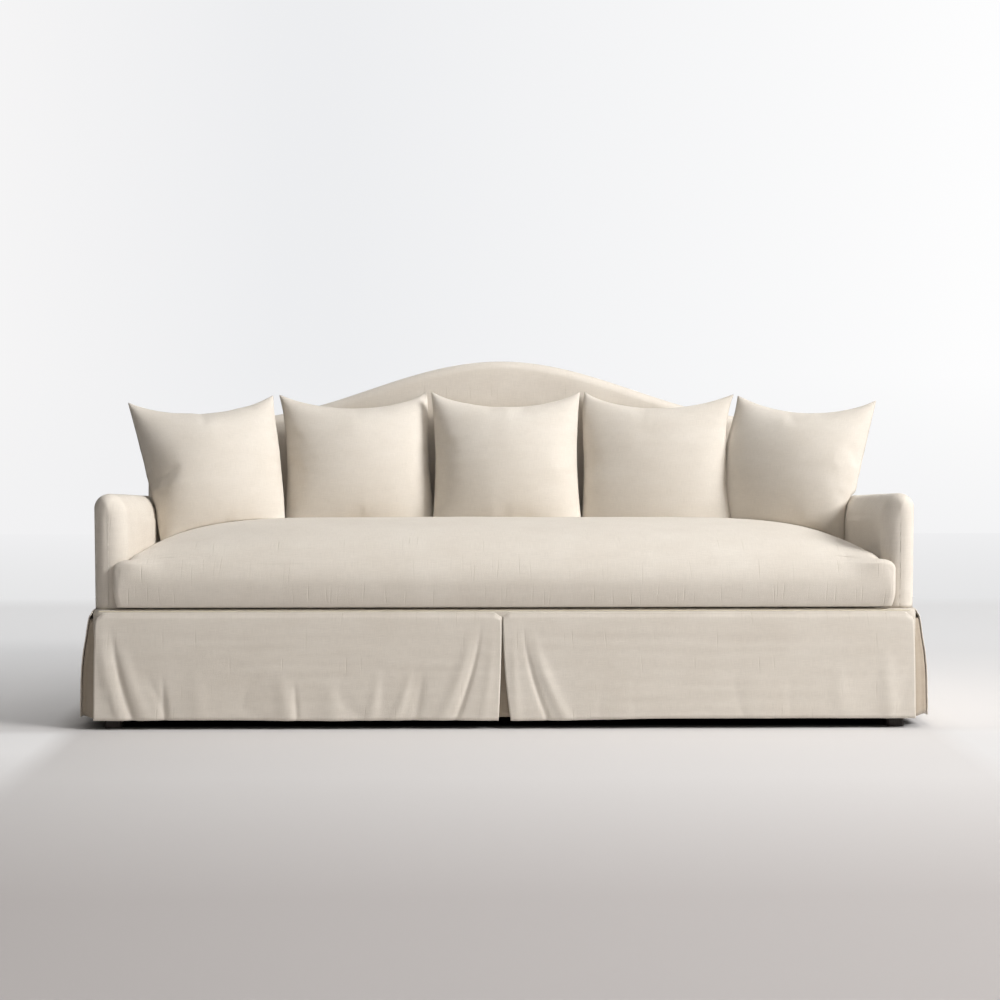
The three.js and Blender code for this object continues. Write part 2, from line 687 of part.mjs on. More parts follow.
function buildSkirt() {
  const cornerAt = (fall) => halfWidth - skirt.cornerInset + skirt.cornerSpread * flareAt(fall);
  const pleatAt = (fall) => skirt.pleatGap + skirt.pleatOpening * fall ** pleatShare;
  const atFront = (along, out, z) => [along, -bodyFace - out, z];
  add('skirt_front_left', skirtPanel({
    flare: skirt.frontFlare, foldShares: frontFoldShares, half: halfWidth, columns: 24, place: atFront,
    startAt: (fall) => -cornerAt(fall), endAt: (fall) => -pleatAt(fall),
  }), materials.linen);
  add('skirt_front_right', skirtPanel({
    flare: skirt.frontFlare, foldShares: frontFoldShares, half: halfWidth, columns: 24, place: atFront,
    startAt: pleatAt, endAt: cornerAt,
  }), materials.linen);
  for (const [name, side] of sides) {
    const end = bodyFace - seatGap;
    add(`skirt_${name}`, skirtPanel({
      flare: skirt.sideFlare, foldShares: sideFoldShares, half: bodyFace, columns: 14,
      startAt: () => -side * end, endAt: () => side * end,
      place: (along, out, z) => [side * (halfWidth + out), along, z],
    }), materials.linen);
  }
  const backPanel = skirtPanel({
    flare: skirt.frontFlare, foldShares: backFoldShares, half: halfWidth, columns: 22,
    startAt: cornerAt, endAt: (fall) => -cornerAt(fall),
    place: (along, out, z) => [along, bodyFace + out, z],
  });
  const returns = sides.map(([, side]) => mirrored(cornerSheet(-underlay.lap), side));
  add('skirt_back', join(backPanel, ...returns), materials.linen);
  buildPleatUnderlays();
}

const underlayRest = (flare, setBack, fall) => Math.max(
  seatGap,
  flare * plainFlareShare * flareAt(fall) - setBack - underlay.thickness,
);

// The sheet behind a corner pleat, for the right-hand back corner: one leg along the back and one
// along the side. The leg along the back is set back from the panel, or laps into it to be one cloth.
function cornerSheet(backSetBack) {
  return shapedBox([4, 1, underlayFallShares.length - 1], (u, v, w) => {
    const fall = rowFall(w, underlayFallShares);
    const cloth = v > 0 ? underlay.thickness : 0;
    const cornerX = halfWidth + underlayRest(skirt.sideFlare, underlay.setBack, fall) + cloth;
    const cornerY = bodyFace + underlayRest(skirt.frontFlare, backSetBack, fall) + cloth;
    const legX = halfWidth - underlay.legLength;
    const legY = bodyFace - underlay.legLength;
    const x = u < 0 ? cornerX + (legX - cornerX) * -u : cornerX;
    const y = u > 0 ? cornerY + (legY - cornerY) * u : cornerY;
    return [x, y, hemAt(fall)];
  });
}

// Sheets behind the pleats at the middle and the corners of the front
function buildPleatUnderlays() {
  const middle = shapedBox([4, 1, underlayFallShares.length - 1], (u, v, w) => {
    const fall = rowFall(w, underlayFallShares);
    const rest = underlayRest(skirt.frontFlare, underlay.setBack, fall) + (v < 0 ? underlay.thickness : 0);
    return [u * underlay.halfWidth, -bodyFace - rest, hemAt(fall)];
  });
  add('pleat_underlay_middle', middle, materials.lining);
  for (const [name, side] of sides) {
    add(`pleat_underlay_${name}`, mirrored(cornerSheet(underlay.setBack), side, -1), materials.lining);
  }
}

// Rows of the bench cushion from front to rear, each with its half width: the front corners are
// rounded, short ears lap the fronts of the arms and the rest fits between them
function cushionRows() {
  const front = -skirtFace - cushion.frontReach;
  const radius = cushion.cornerRadius;
  const ear = armInner + cushion.earWidth;
  const neck = armInner - cushion.sideGap;
  const neckFront = armFront + cushion.earGap / 3;
  const rear = backDeckFront - easyGap;
  const nose = 1 - Math.SQRT1_2;
  const rows = [
    [front, ear - radius], [front + radius * nose, ear - radius * nose], [front + radius, ear],
    [armFront - cushion.earGap, ear], [neckFront, neck],
  ];
  return rows.concat(neckShares.map((share) => [neckFront + (rear - neckFront) * share, neck]));
}

function buildSeatCushion() {
  const rows = cushionRows();
  const last = rows.length - 1;
  const geometry = shapedBox([26, last, 2], (u, v, w) => {
    const row = Math.round(((v + 1) / 2) * last);
    const [rowY, half] = rows[row];
    const draw = cushion.bulge * w * w;
    const x = crowded(u) * (half - draw);
    const y = rowY + draw * clampUnit(1 - row / 2) - (row === last ? draw / 2 : 0);
    const edge = row === 0 || row === last || Math.abs(u) > 1 - cushionEdgeShare;
    const low = cushionBottom + (edge ? cushion.bottomLift : 0);
    const levels = [low, cushionBottom + cushion.boxing / 2, seatTopAt(x, y)];
    return [x, y, levels[Math.round(w) + 1]];
  });
  add('seat_cushion', geometry, materials.linen);
}

// A knife-edge pillow: full in the middle, thin at its seam, with sides drawn in between its ears
function pillowGeometry(acrossShare, aheadShare, riseShare, yaw, lean, roll) {
  const seam = pillow.seamHalfThickness;
  const geometry = shapedBox([pillow.cells, 1, pillow.cells], (u, v, w) => {
    const across = crowded(u);
    const up = crowded(w);
    const fullness = Math.sqrt((1 - across ** 2) * (1 - up ** 2));
    const thickness = seam + (pillowHalf * pillowThicknessShare - seam) * fullness;
    const foot = up < 0 ? pillowFootDrawShare * up * up : 0;
    const edgeDrawShare = up < 0 ? pillowSideDrawShare : pillowTopDrawShare;
    const x = across * pillowHalf * (1 - pillowSideDrawShare * (1 - up ** 2) - foot);
    const z = up * pillowHalf * (1 - edgeDrawShare * (1 - across ** 2));
    return [x, v * thickness, z];
  });
  const turn = THREE.MathUtils.degToRad;
  geometry.rotateY(turn(roll)).rotateX(-turn(lean)).rotateZ(turn(yaw));
  const ahead = backDeckFront - aheadShare * pillowHalf;
  geometry.translate(acrossShare * armInner, ahead, cushionEdge + riseShare * pillowHalf);
  return moved(geometry, settled);
}

// A pillow flattens where it rests on the seat, presses on an arm and leans on the back
function settled(x, y, z) {
  const level = Math.max(z, seatTopAt(x, y) + pillow.restGap);
  const away = Math.min(Math.abs(x), armSideAt(y, level) - pillow.restGap);
  return [Math.sign(x) * away, Math.min(y, backFrontAt(level) - pillow.restGap), level];
}

function buildPillows() {
  for (const [name, shares] of Object.entries(pillowSpotShares)) {
    add(name, pillowGeometry(...shares), materials.pillowLinen);
  }
}

buildSeatFrame();
buildFeet();
buildSprings();
buildDeck();
buildDustCover();
buildArms();
buildBackFrame();
buildBackPad();
buildBackCover();
buildSkirt();
buildSeatCushion();
buildPillows();

export default model;
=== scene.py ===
"""Looks for a three-seat camelback sofa: linen covers, a bench cushion, loose pillows and a skirt."""

import logging
import math
from collections.abc import Callable
from dataclasses import dataclass
from enum import Enum

import bmesh
import bpy
from mathutils import Euler, Matrix, Vector, noise


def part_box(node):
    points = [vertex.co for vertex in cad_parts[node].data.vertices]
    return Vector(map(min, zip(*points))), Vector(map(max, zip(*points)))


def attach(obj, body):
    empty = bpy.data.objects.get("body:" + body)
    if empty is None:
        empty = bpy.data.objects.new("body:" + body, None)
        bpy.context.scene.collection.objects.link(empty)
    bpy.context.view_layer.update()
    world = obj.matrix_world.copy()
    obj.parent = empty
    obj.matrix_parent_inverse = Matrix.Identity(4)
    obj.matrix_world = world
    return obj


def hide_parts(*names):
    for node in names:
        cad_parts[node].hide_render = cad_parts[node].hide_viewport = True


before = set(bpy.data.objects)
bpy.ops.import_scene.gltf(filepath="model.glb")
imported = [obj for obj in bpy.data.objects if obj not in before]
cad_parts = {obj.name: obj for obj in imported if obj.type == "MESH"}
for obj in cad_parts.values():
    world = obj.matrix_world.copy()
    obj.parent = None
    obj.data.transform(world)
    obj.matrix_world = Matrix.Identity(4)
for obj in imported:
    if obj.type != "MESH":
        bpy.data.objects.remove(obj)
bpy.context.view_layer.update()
LOG = logging.getLogger("sofa")

Pair = tuple[float, float]
Triple = tuple[float, float, float]
Place = Callable[[float, float, float], Triple]
Hang = Callable[[float, float], Vector]
Flat = Callable[[float, float], Pair]
CLOTH_MAP = "ClothMap"
TINY = 1e-6


class Side(Enum):
    """The two sides of the sofa, as seen from the front."""

    LEFT = -1
    RIGHT = 1

    @property
    def word(self) -> str:
        """The side's name in lower case."""
        return self.name.lower()


class Axis(Enum):
    """The three axes, by their place in a coordinate."""

    X = 0
    Y = 1
    Z = 2


def clamp(value: float, low: float = 0.0, high: float = 1.0) -> float:
    """Keeps a value between two limits."""
    return max(low, min(high, value))


def smooth(value: float) -> float:
    """Eases a share from 0 to 1 in and out."""
    share = clamp(value)
    return share * share * (3.0 - 2.0 * share)


def bell(distance: float, width: float) -> float:
    """A soft hump that is 1 at its middle and falls away over a width."""
    return math.exp(-((distance / width) ** 2))


def crowded(value: float) -> float:
    """Spreads even steps from -1 to 1 so that they crowd towards both ends."""
    return (math.sin(math.pi / 2 * value) + value) / 2


def drift(x: float, y: float, z: float, seed: float = 0.0) -> float:
    """Smooth noise from about -1 to 1, the same in every run."""
    return noise.noise(Vector((x + seed * 13.7, y - seed * 5.1, z + seed * 3.3)))


def crease(x: float, y: float, z: float, seed: float = 0.0) -> float:
    """Noise with sharp valleys, from 0 on a ridge to 1 in a crease."""
    return (1.0 - min(1.0, abs(drift(x, y, z, seed)) * 3.0)) ** 2


@dataclass(frozen=True)
class Ripple:
    """One kind of unevenness in the cloth: its depth in metres, its rate along each axis and its seed."""

    depth: float
    rates: Triple
    seed: float = 0.0

    def wave(self, *place: float) -> float:
        """Its height at a place, as soft waves."""
        return self.depth * drift(*(part * rate for part, rate in zip(place, self.rates)), self.seed)

    def fold(self, *place: float) -> float:
        """Its depth at a place, as sharp creases."""
        return self.depth * crease(*(part * rate for part, rate in zip(place, self.rates)), self.seed)


def deeper(colour: Triple, shares: Triple) -> tuple[float, float, float, float]:
    """A darker opaque colour, by a share for each channel."""
    return (*(level * share for level, share in zip(colour, shares)), 1.0)


@dataclass(frozen=True)
class SofaSizes:
    """Real sizes of the sofa in metres, and the planes that its pieces share."""

    half_width: float = 1.067
    half_depth: float = 0.4825
    deck_height: float = 0.310
    shoulder_height: float = 0.795
    peak_height: float = 0.966
    hump_half_width: float = 0.800
    skirt_flare: float = 0.0175
    skirt_thickness: float = 0.0035
    seat_gap: float = 0.0003
    rest_gap: float = 0.0005
    rear_gap: float = 0.0007
    arm_thickness: float = 0.086
    arm_front_height: float = 0.610
    arm_rear_height: float = 0.566
    arm_set_back: float = 0.020
    back_thickness: float = 0.161
    front_rake: float = 0.0875
    rear_rake: float = 0.02
    shoulder_radius: float = 0.060
    cushion_boxing: float = 0.135
    cushion_crown: float = 0.076
    cushion_reach: float = 0.004
    cushion_side_gap: float = 0.002
    crest_offset: float = -0.090
    crown_front_power: float = 3.0
    crown_rear_power: float = 2.2
    crown_end_power: float = 7.0

    @property
    def arm_inner(self) -> float:
        """Half the width between the arms."""
        return self.half_width - self.arm_thickness

    @property
    def skirt_face(self) -> float:
        """Distance from the middle to the front of the skirt's seam."""
        return self.half_depth - self.skirt_flare

    @property
    def body_face(self) -> float:
        """Distance from the middle to the face that the skirt hangs on."""
        return self.skirt_face - self.skirt_thickness - self.seat_gap

    @property
    def arm_front(self) -> float:
        """Y of the front of the arms."""
        return self.arm_set_back - self.skirt_face

    @property
    def back_deck_front(self) -> float:
        """Y of the front of the back, at the deck."""
        return self.body_face - self.back_thickness

    @property
    def cushion_bottom(self) -> float:
        """Height of the underside of the bench cushion."""
        return self.deck_height + self.seat_gap

    @property
    def cushion_edge(self) -> float:
        """Height of the top edge of the bench cushion's boxing."""
        return self.cushion_bottom + self.cushion_boxing

    @property
    def cushion_front(self) -> float:
        """Y of the front of the bench cushion."""
        return -self.skirt_face - self.cushion_reach

    @property
    def deck_rear(self) -> float:
        """Y where the bench cushion and the deck cloth end, just ahead of the back."""
        return self.back_deck_front - self.rear_gap

    @property
    def cover_bottom(self) -> float:
        """Height of the lower edge of the arm and back covers."""
        return self.deck_height + self.rest_gap

    def back_front(self, z: float) -> float:
        """Y of the front of the back at a height."""
        return self.back_deck_front + self.front_rake * (z - self.deck_height)

    def back_rear(self, z: float) -> float:
        """Y of the rear of the back at a height."""
        return self.body_face + self.rear_rake * (z - self.deck_height)

    def hump(self, x: float) -> float:
        """Share of the hump's rise at a place across, from 0 at its feet to 1 at its peak."""
        return (1 + math.cos(math.pi * min(1.0, abs(x) / self.hump_half_width))) / 2

    def outline(self, x: float) -> float:
        """Height of the back's camel outline.

        Args:
            x: A place across.

        Returns:
            The height there, rounded off at the outer corners.
        """
        level = self.shoulder_height + (self.peak_height - self.shoulder_height) * self.hump(x)
        radius = self.shoulder_radius
        past = clamp(abs(x) - (self.half_width - radius), 0.0, radius)
        return level - radius + math.sqrt(max(0.0, radius * radius - past * past))

    def arm_top(self, y: float) -> float:
        """Height of the top of an arm at a depth."""
        share = (y - self.arm_front) / (self.back_front(self.arm_rear_height) - self.arm_front)
        return self.arm_front_height + (self.arm_rear_height - self.arm_front_height) * share

    def seat_top(self, x: float, y: float) -> float:
        """Height of the crowned top of the bench cushion.

        Args:
            x: A place across.
            y: A place along the depth.

        Returns:
            The height there.
        """
        end = min(1.0, abs(x) / (self.arm_inner - self.cushion_side_gap))
        ahead = y < self.crest_offset
        front = self.crest_offset + self.skirt_face + self.cushion_reach
        rear = self.back_deck_front - self.crest_offset
        along = min(1.0, abs(y - self.crest_offset) / (front if ahead else rear))
        fall = 1 - along ** (self.crown_front_power if ahead else self.crown_rear_power)
        return self.cushion_edge + self.cushion_crown * (1 - end**self.crown_end_power) * fall


SIZES = SofaSizes()


# Meshes
def link(name: str, mesh: bpy.types.Mesh) -> bpy.types.Object:
    """Makes an object of a mesh and puts it in the scene.

    Args:
        name: The piece's name.
        mesh: Its mesh.

    Returns:
        The new object, at the origin.
    """
    piece = bpy.data.objects.new(name, mesh)
    bpy.context.scene.collection.objects.link(piece)
    return piece


def finish_mesh(bm: bmesh.types.BMesh, name: str) -> bpy.types.Object:
    """Turns a bmesh into a smooth-shaded object.

    Args:
        bm: The shape, which is freed.
        name: The piece's name.

    Returns:
        The new object.
    """
    bmesh.ops.recalc_face_normals(bm, faces=bm.faces)
    for face in bm.faces:
        face.smooth = True
    mesh = bpy.data.meshes.new(name)
    bm.to_mesh(mesh)
    bm.free()
    return link(name, mesh)


def paint_map(bm: bmesh.types.BMesh, flat: Callable[[bmesh.types.BMLoop], Pair]) -> None:
    """Gives every corner its place on the flat cloth, in metres.

    Args:
        bm: The shape.
        flat: The rule that gives a corner's place on the cloth.
    """
    layer = bm.loops.layers.uv.new(CLOTH_MAP)
    for face in bm.faces:
        for loop in face.loops:
            loop[layer].uv = flat(loop)


def cut_place(loop: bmesh.types.BMLoop, level: float = 0.75) -> Pair:
    """A corner's place on the panel that faces its way, as the cloth would be cut.

    Args:
        loop: The corner.
        level: How far a face must point up or down to belong to the top or bottom panel.

    Returns:
        Its place on that panel, in metres.
    """
    normal = loop.face.normal
    co = loop.vert.co
    if abs(normal.z) > level:
        return co.x, co.y
    if abs(normal.x) > abs(normal.y):
        return co.y, co.z
    return co.x, co.z


def block_of_cells(cells: tuple[int, int, int]) -> bmesh.types.BMesh:
    """A cube from -1 to 1 with its sides cut into cells.

    Args:
        cells: How many cells lie along each axis.

    Returns:
        The cut cube.
    """
    bm = bmesh.new()
    bmesh.ops.create_cube(bm, size=2.0)
    for axis, count in zip(Axis, cells):
        i = axis.value
        along = [edge for edge in bm.edges if abs(edge.verts[0].co[i] - edge.verts[1].co[i]) > TINY]
        if count > 1:
            bmesh.ops.subdivide_edges(bm, edges=along, cuts=count - 1, use_grid_fill=True)
    return bm


def shaped_block(name: str, cells: tuple[int, int, int], place: Place) -> bpy.types.Object:
    """A closed form made by moving the corners of a cut cube.

    Args:
        name: The piece's name.
        cells: How many cells lie along each axis.
        place: The rule that moves a corner of the cube.

    Returns:
        The new object.
    """
    bm = block_of_cells(cells)
    for vert in bm.verts:
        vert.co = place(*vert.co)
    bmesh.ops.recalc_face_normals(bm, faces=bm.faces)
    bm.normal_update()
    paint_map(bm, cut_place)
    return finish_mesh(bm, name)


def hanging_sheet(
    name: str, cells: tuple[int, int], place: Hang, flat: Flat, thickness: float
) -> bpy.types.Object:
    """A sheet of cloth made by moving the corners of a grid.

    Args:
        name: The piece's name.
        cells: How many cells lie across and down.
        place: The rule that moves a corner, given its shares from -1 to 1.
        flat: The corner's place on the flat cloth, in metres.
        thickness: How thick the cloth is.

    Returns:
        The new object, with its thickness as a modifier.
    """
    bm = bmesh.new()
    bmesh.ops.create_grid(bm, x_segments=cells[0], y_segments=cells[1], size=1.0)
    shares = {vert: (vert.co.x, vert.co.y) for vert in bm.verts}
    for vert, (u, w) in shares.items():
        vert.co = place(u, w)
    paint_map(bm, lambda loop: flat(*shares[loop.vert]))
    piece = finish_mesh(bm, name)
    wall = piece.modifiers.new("Cloth thickness", "SOLIDIFY")
    wall.thickness = thickness
    wall.offset = 0.0
    return piece


def round_off(piece: bpy.types.Object, levels: int = 1) -> None:
    """Adds a subdivision surface with the same levels in the view and the render.

    Args:
        piece: The piece to round.
        levels: How many times its faces are split.
    """
    subdivision = piece.modifiers.new("Soft surface", "SUBSURF")
    subdivision.levels = levels
    subdivision.render_levels = levels


# Node helpers and shared effects
class NodeSheet:
    """Adds and joins nodes in one tree, keeping each step to a line."""

    def __init__(self, tree: bpy.types.NodeTree) -> None:
        """Keeps the tree that the nodes go into."""
        self.tree = tree
        self.step = 0

    def add(self, kind: str, **values: object) -> bpy.types.Node:
        """Adds a node and sets its properties.

        Args:
            kind: Blender's name for the node.
            values: Properties to set on it.

        Returns:
            The new node.
        """
        node = self.tree.nodes.new(kind)
        node.location = (180 * self.step, 0)
        self.step += 1
        for key, value in values.items():
            setattr(node, key, value)
        return node

    def feed(self, source: object, target: bpy.types.NodeSocket) -> None:
        """Joins a socket to another, or sets a plain value on it.

        Args:
            source: A socket or a plain value.
            target: The socket that takes it.
        """
        if isinstance(source, bpy.types.NodeSocket):
            self.tree.links.new(source, target)
        else:
            target.default_value = source

    def fill(self, node: bpy.types.Node, **sources: object) -> bpy.types.Node:
        """Feeds a node's inputs by name.

        Args:
            node: The node.
            sources: Sockets or plain values, with the spaces of a name written as underscores.

        Returns:
            The same node.
        """
        for key, source in sources.items():
            self.feed(source, node.inputs[key.replace("_", " ")])
        return node

    def chain(self, node: bpy.types.Node, *sources: object) -> bpy.types.NodeSocket:
        """Feeds a node's first inputs in their order.

        Args:
            node: The node.
            sources: Sockets or plain values.

        Returns:
            The node's first output.
        """
        for socket, source in zip(node.inputs, sources):
            self.feed(source, socket)
        return node.outputs[0]

    def math(self, operation: str, first: object, second: object = 0.0) -> bpy.types.NodeSocket:
        """The result of a Math node."""
        return self.chain(self.add("ShaderNodeMath", operation=operation), first, second)

    def times(self, first: object, second: object) -> bpy.types.NodeSocket:
        """The product of two numbers."""
        return self.math("MULTIPLY", first, second)

    def plus(self, first: object, second: object) -> bpy.types.NodeSocket:
        """The sum of two numbers."""
        return self.math("ADD", first, second)

    def minus(self, first: object, second: object) -> bpy.types.NodeSocket:
        """The difference of two numbers."""
        return self.math("SUBTRACT", first, second)

    def highest(self, first: object, second: object) -> bpy.types.NodeSocket:
        """The higher of two numbers."""
        return self.math("MAXIMUM", first, second)

    def size(self, value: object) -> bpy.types.NodeSocket:
        """A number without its sign."""
        return self.math("ABSOLUTE", value)

    def parts(self, vector: object) -> tuple[bpy.types.NodeSocket, ...]:
        """The three parts of a vector."""
        return tuple(self.fill(self.add("ShaderNodeSeparateXYZ"), Vector=vector).outputs)

    def scaled(self, vector: object, scale: Triple) -> bpy.types.NodeSocket:
        """A pattern's coordinates, stretched."""
        return self.chain(self.add("ShaderNodeVectorMath", operation="MULTIPLY"), vector, scale)

    def noise(
        self, vector: object, scale: object, detail: float = 3.0, rough: float = 0.55
    ) -> bpy.types.NodeSocket:
        """The value of a noise texture."""
        node = self.add("ShaderNodeTexNoise")
        return self.fill(node, Vector=vector, Scale=scale, Detail=detail, Roughness=rough).outputs["Fac"]

    def remap(
        self, value: object, low: float, high: float, to_low: float, to_high: float
    ) -> bpy.types.NodeSocket:
        """A value moved from one range to another, held at the ends."""
        return self.chain(self.add("ShaderNodeMapRange"), value, low, high, to_low, to_high)

    def ramp(self, value: object, low: float, high: float) -> bpy.types.NodeSocket:
        """A share that goes from 0 to 1 between two values."""
        return self.remap(value, low, high, 0.0, 1.0)

    def tint(self, share: object, first: object, second: object) -> bpy.types.NodeSocket:
        """Mixes two colours.

        Args:
            share: The second colour's share.
            first: A socket or a colour.
            second: A socket or a colour.

        Returns:
            The mixed colour's socket.
        """
        node = self.add("ShaderNodeMix", data_type="RGBA")
        for source, slot in ((share, 0), (first, 6), (second, 7)):
            plain = isinstance(source, tuple) and len(source) == 3
            self.feed((*source, 1.0) if plain else source, node.inputs[slot])
        return node.outputs[2]

    def blend(self, share: object, first: bpy.types.Node, second: bpy.types.Node) -> bpy.types.NodeSocket:
        """Mixes two shaders by the second one's share."""
        return self.chain(self.add("ShaderNodeMixShader"), share, first.outputs[0], second.outputs[0])

    def bump(
        self, height: object, distance: float, strength: float = 1.0, over: object = None,
        invert: bool = False,
    ) -> bpy.types.NodeSocket:
        """Turns a height into relief.

        Args:
            height: The height's socket.
            distance: How deep the relief is, in metres.
            strength: How strongly it shows.
            over: The relief that lies under it, if any.
            invert: Whether a high value is a hollow.

        Returns:
            The normal's socket.
        """
        node = self.add("ShaderNodeBump", invert=invert)
        self.fill(node, Height=height, Distance=distance, Strength=strength)
        if over is not None:
            self.fill(node, Normal=over)
        return node.outputs[0]


def new_group(
    name: str, inputs: dict[str, float | None], outputs: tuple[str, ...]
) -> tuple[NodeSheet, bpy.types.Node]:
    """Makes a shader group with named sockets.

    Args:
        name: The group's name.
        inputs: The starting value of each number that it takes, or None for a vector.
        outputs: The numbers that it gives.

    Returns:
        The group's node sheet, and the node that brings its inputs.
    """
    group = bpy.data.node_groups.new(name, "ShaderNodeTree")
    for label, value in inputs.items():
        kind = "NodeSocketVector" if value is None else "NodeSocketFloat"
        socket = group.interface.new_socket(name=label, in_out="INPUT", socket_type=kind)
        if value is not None:
            socket.default_value = value
    for label in outputs:
        group.interface.new_socket(name=label, in_out="OUTPUT", socket_type="NodeSocketFloat")
    sheet = NodeSheet(group)
    return sheet, sheet.add("NodeGroupInput")


@dataclass
class SharedEffects:
    """Shader groups that several finishes use, each built once, with scales per metre."""

    weave: bpy.types.NodeTree | None = None
    creases: bpy.types.NodeTree | None = None
    mottle: bpy.types.NodeTree | None = None
    grain: bpy.types.NodeTree | None = None
    thread_wander_scale: float = 90.0
    thread_wander: float = 0.0016
    slub_length_scale: float = 34.0
    slub_width_scale: float = 620.0
    crease_slant: float = 0.5
    crease_width: float = 0.10
    crease_ends: Pair = (0.12, 0.45)
    streak_scale: Triple = (9.0, 9.0, 42.0)
    fine_bump_scale: float = 34.0
    grain_stretch: Triple = (1.0, 1.0, 0.06)
    grain_warp_scale: float = 7.0
    pore_scale: Triple = (420.0, 420.0, 9.0)

    def build(self) -> None:
        """Builds every group."""
        self.weave = self.build_weave()
        self.creases = self.build_creases()
        self.mottle = self.build_mottle()
        self.grain = self.build_grain()

    def build_weave(self) -> bpy.types.NodeTree:
        """Plain weave of uneven threads: its height, and how thick the threads are.

        Returns:
            The group.
        """
        sheet, entry = new_group(
            "Uneven plain weave", {"Cloth": None, "Threads": 1000.0, "Unevenness": 0.35}, ("Height", "Slub"))
        cloth = entry.outputs["Cloth"]
        wander = sheet.noise(cloth, self.thread_wander_scale, 2.0)
        shift = sheet.times(sheet.minus(wander, 0.5), self.thread_wander)
        waves = []
        for axis in sheet.parts(cloth)[:2]:
            turns = sheet.times(sheet.plus(axis, shift), entry.outputs["Threads"])
            waves.append(sheet.math("SINE", sheet.times(turns, math.pi)))
        long, short = self.slub_length_scale, self.slub_width_scale
        weft = sheet.noise(sheet.scaled(cloth, (long, short, long)), 1.0, 2.0)
        warp = sheet.noise(sheet.scaled(cloth, (short, long, long)), 1.0, 2.0)
        slub = sheet.minus(sheet.plus(weft, warp), 1.0)
        uneven = sheet.times(slub, entry.outputs["Unevenness"])
        height = sheet.plus(sheet.times(sheet.times(*waves), 0.5), sheet.times(uneven, 2.0))
        sheet.fill(sheet.add("NodeGroupOutput"), Height=height, Slub=slub)
        return sheet.tree

    def build_creases(self) -> bpy.types.NodeTree:
        """Short thin creases that run up and down the cloth: 1 in a crease and 0 between them.

        Returns:
            The group.
        """
        sheet, entry = new_group(
            "Short creases", {"Cloth": None, "Across": 46.0, "Along": 15.0, "Cover": 0.5}, ("Crease",))
        x, y, _ = sheet.parts(entry.outputs["Cloth"])
        across = sheet.times(x, entry.outputs["Across"])
        along = sheet.times(y, entry.outputs["Along"])
        joined = sheet.fill(sheet.add("ShaderNodeCombineXYZ"), X=across, Y=along)
        cells = sheet.add("ShaderNodeTexVoronoi", voronoi_dimensions="2D")
        sheet.fill(cells, Vector=joined.outputs[0], Scale=1.0)
        middle_x, middle_y, _ = sheet.parts(cells.outputs["Position"])
        tilt, chance, depth = sheet.parts(cells.outputs["Color"])
        up = sheet.minus(along, middle_y)
        slant = sheet.times(sheet.minus(tilt, 0.5), up)
        aside = sheet.plus(sheet.minus(across, middle_x), sheet.times(slant, self.crease_slant))
        thin = sheet.remap(sheet.size(aside), 0.0, self.crease_width, 1.0, 0.0)
        ends = sheet.remap(sheet.size(up), *self.crease_ends, 1.0, 0.0)
        shown = sheet.math("LESS_THAN", chance, entry.outputs["Cover"])
        line = sheet.times(sheet.times(thin, ends), shown)
        sheet.fill(sheet.add("NodeGroupOutput"), Crease=sheet.times(line, depth))
        return sheet.tree

    def build_mottle(self) -> bpy.types.NodeTree:
        """Broad faint clouds and streaks, as undyed cloth has, from 0 to 1.

        Returns:
            The group.
        """
        sheet, entry = new_group("Faint mottle", {"Place": None, "Scale": 6.0}, ("Mottle", "Soft bump"))
        place = entry.outputs["Place"]
        cloud = sheet.noise(place, entry.outputs["Scale"], 5.0, 0.6)
        streak = sheet.noise(sheet.scaled(place, self.streak_scale), 1.0, 3.0)
        both = sheet.plus(sheet.times(cloud, 0.65), sheet.times(streak, 0.35))
        fine = sheet.noise(place, self.fine_bump_scale, 3.0, 0.5)
        soft = sheet.plus(sheet.times(cloud, 0.6), sheet.times(fine, 0.4))
        sheet.fill(sheet.add("NodeGroupOutput"), Mottle=sheet.ramp(both, 0.3, 0.7), Soft_bump=soft)
        return sheet.tree

    def build_grain(self) -> bpy.types.NodeTree:
        """Sawn timber's rings and pores, from 0 to 1, along the place's third axis.

        Returns:
            The group.
        """
        sheet, entry = new_group("Sawn grain", {"Place": None, "Ring spacing": 60.0}, ("Grain", "Pores"))
        place = entry.outputs["Place"]
        stretched = sheet.scaled(place, self.grain_stretch)
        warp = sheet.noise(stretched, self.grain_warp_scale, 2.0)
        rings = sheet.add("ShaderNodeTexWave", wave_type="RINGS", rings_direction="Z")
        sheet.fill(rings, Vector=stretched, Scale=entry.outputs["Ring spacing"], Distortion=4.0, Detail=2.0)
        grain = sheet.times(rings.outputs["Fac"], sheet.remap(warp, 0.2, 0.8, 0.5, 1.0))
        pores = sheet.noise(sheet.scaled(place, self.pore_scale), 1.0, 2.0)
        sheet.fill(sheet.add("NodeGroupOutput"), Grain=grain, Pores=pores)
        return sheet.tree


EFFECTS = SharedEffects()


def new_material(name: str) -> tuple[bpy.types.Material, NodeSheet, bpy.types.Node]:
    """Makes a material with an empty node sheet and one Principled shader.

    Args:
        name: The material's name.

    Returns:
        The material, its node sheet and the shader.
    """
    material = bpy.data.materials.new(name)
    material.use_nodes = True
    material.node_tree.nodes.clear()
    sheet = NodeSheet(material.node_tree)
    shader = sheet.add("ShaderNodeBsdfPrincipled")
    sheet.fill(sheet.add("ShaderNodeOutputMaterial"), Surface=shader.outputs[0])
    return material, sheet, shader


def use_group(sheet: NodeSheet, group: bpy.types.NodeTree, **values: object) -> bpy.types.Node:
    """Places a shared effect in a material.

    Args:
        sheet: The material's node sheet.
        group: The shared effect.
        values: Sockets or numbers for its inputs, with spaces written as underscores.

    Returns:
        The group node.
    """
    return sheet.fill(sheet.add("ShaderNodeGroup", node_tree=group), **values)


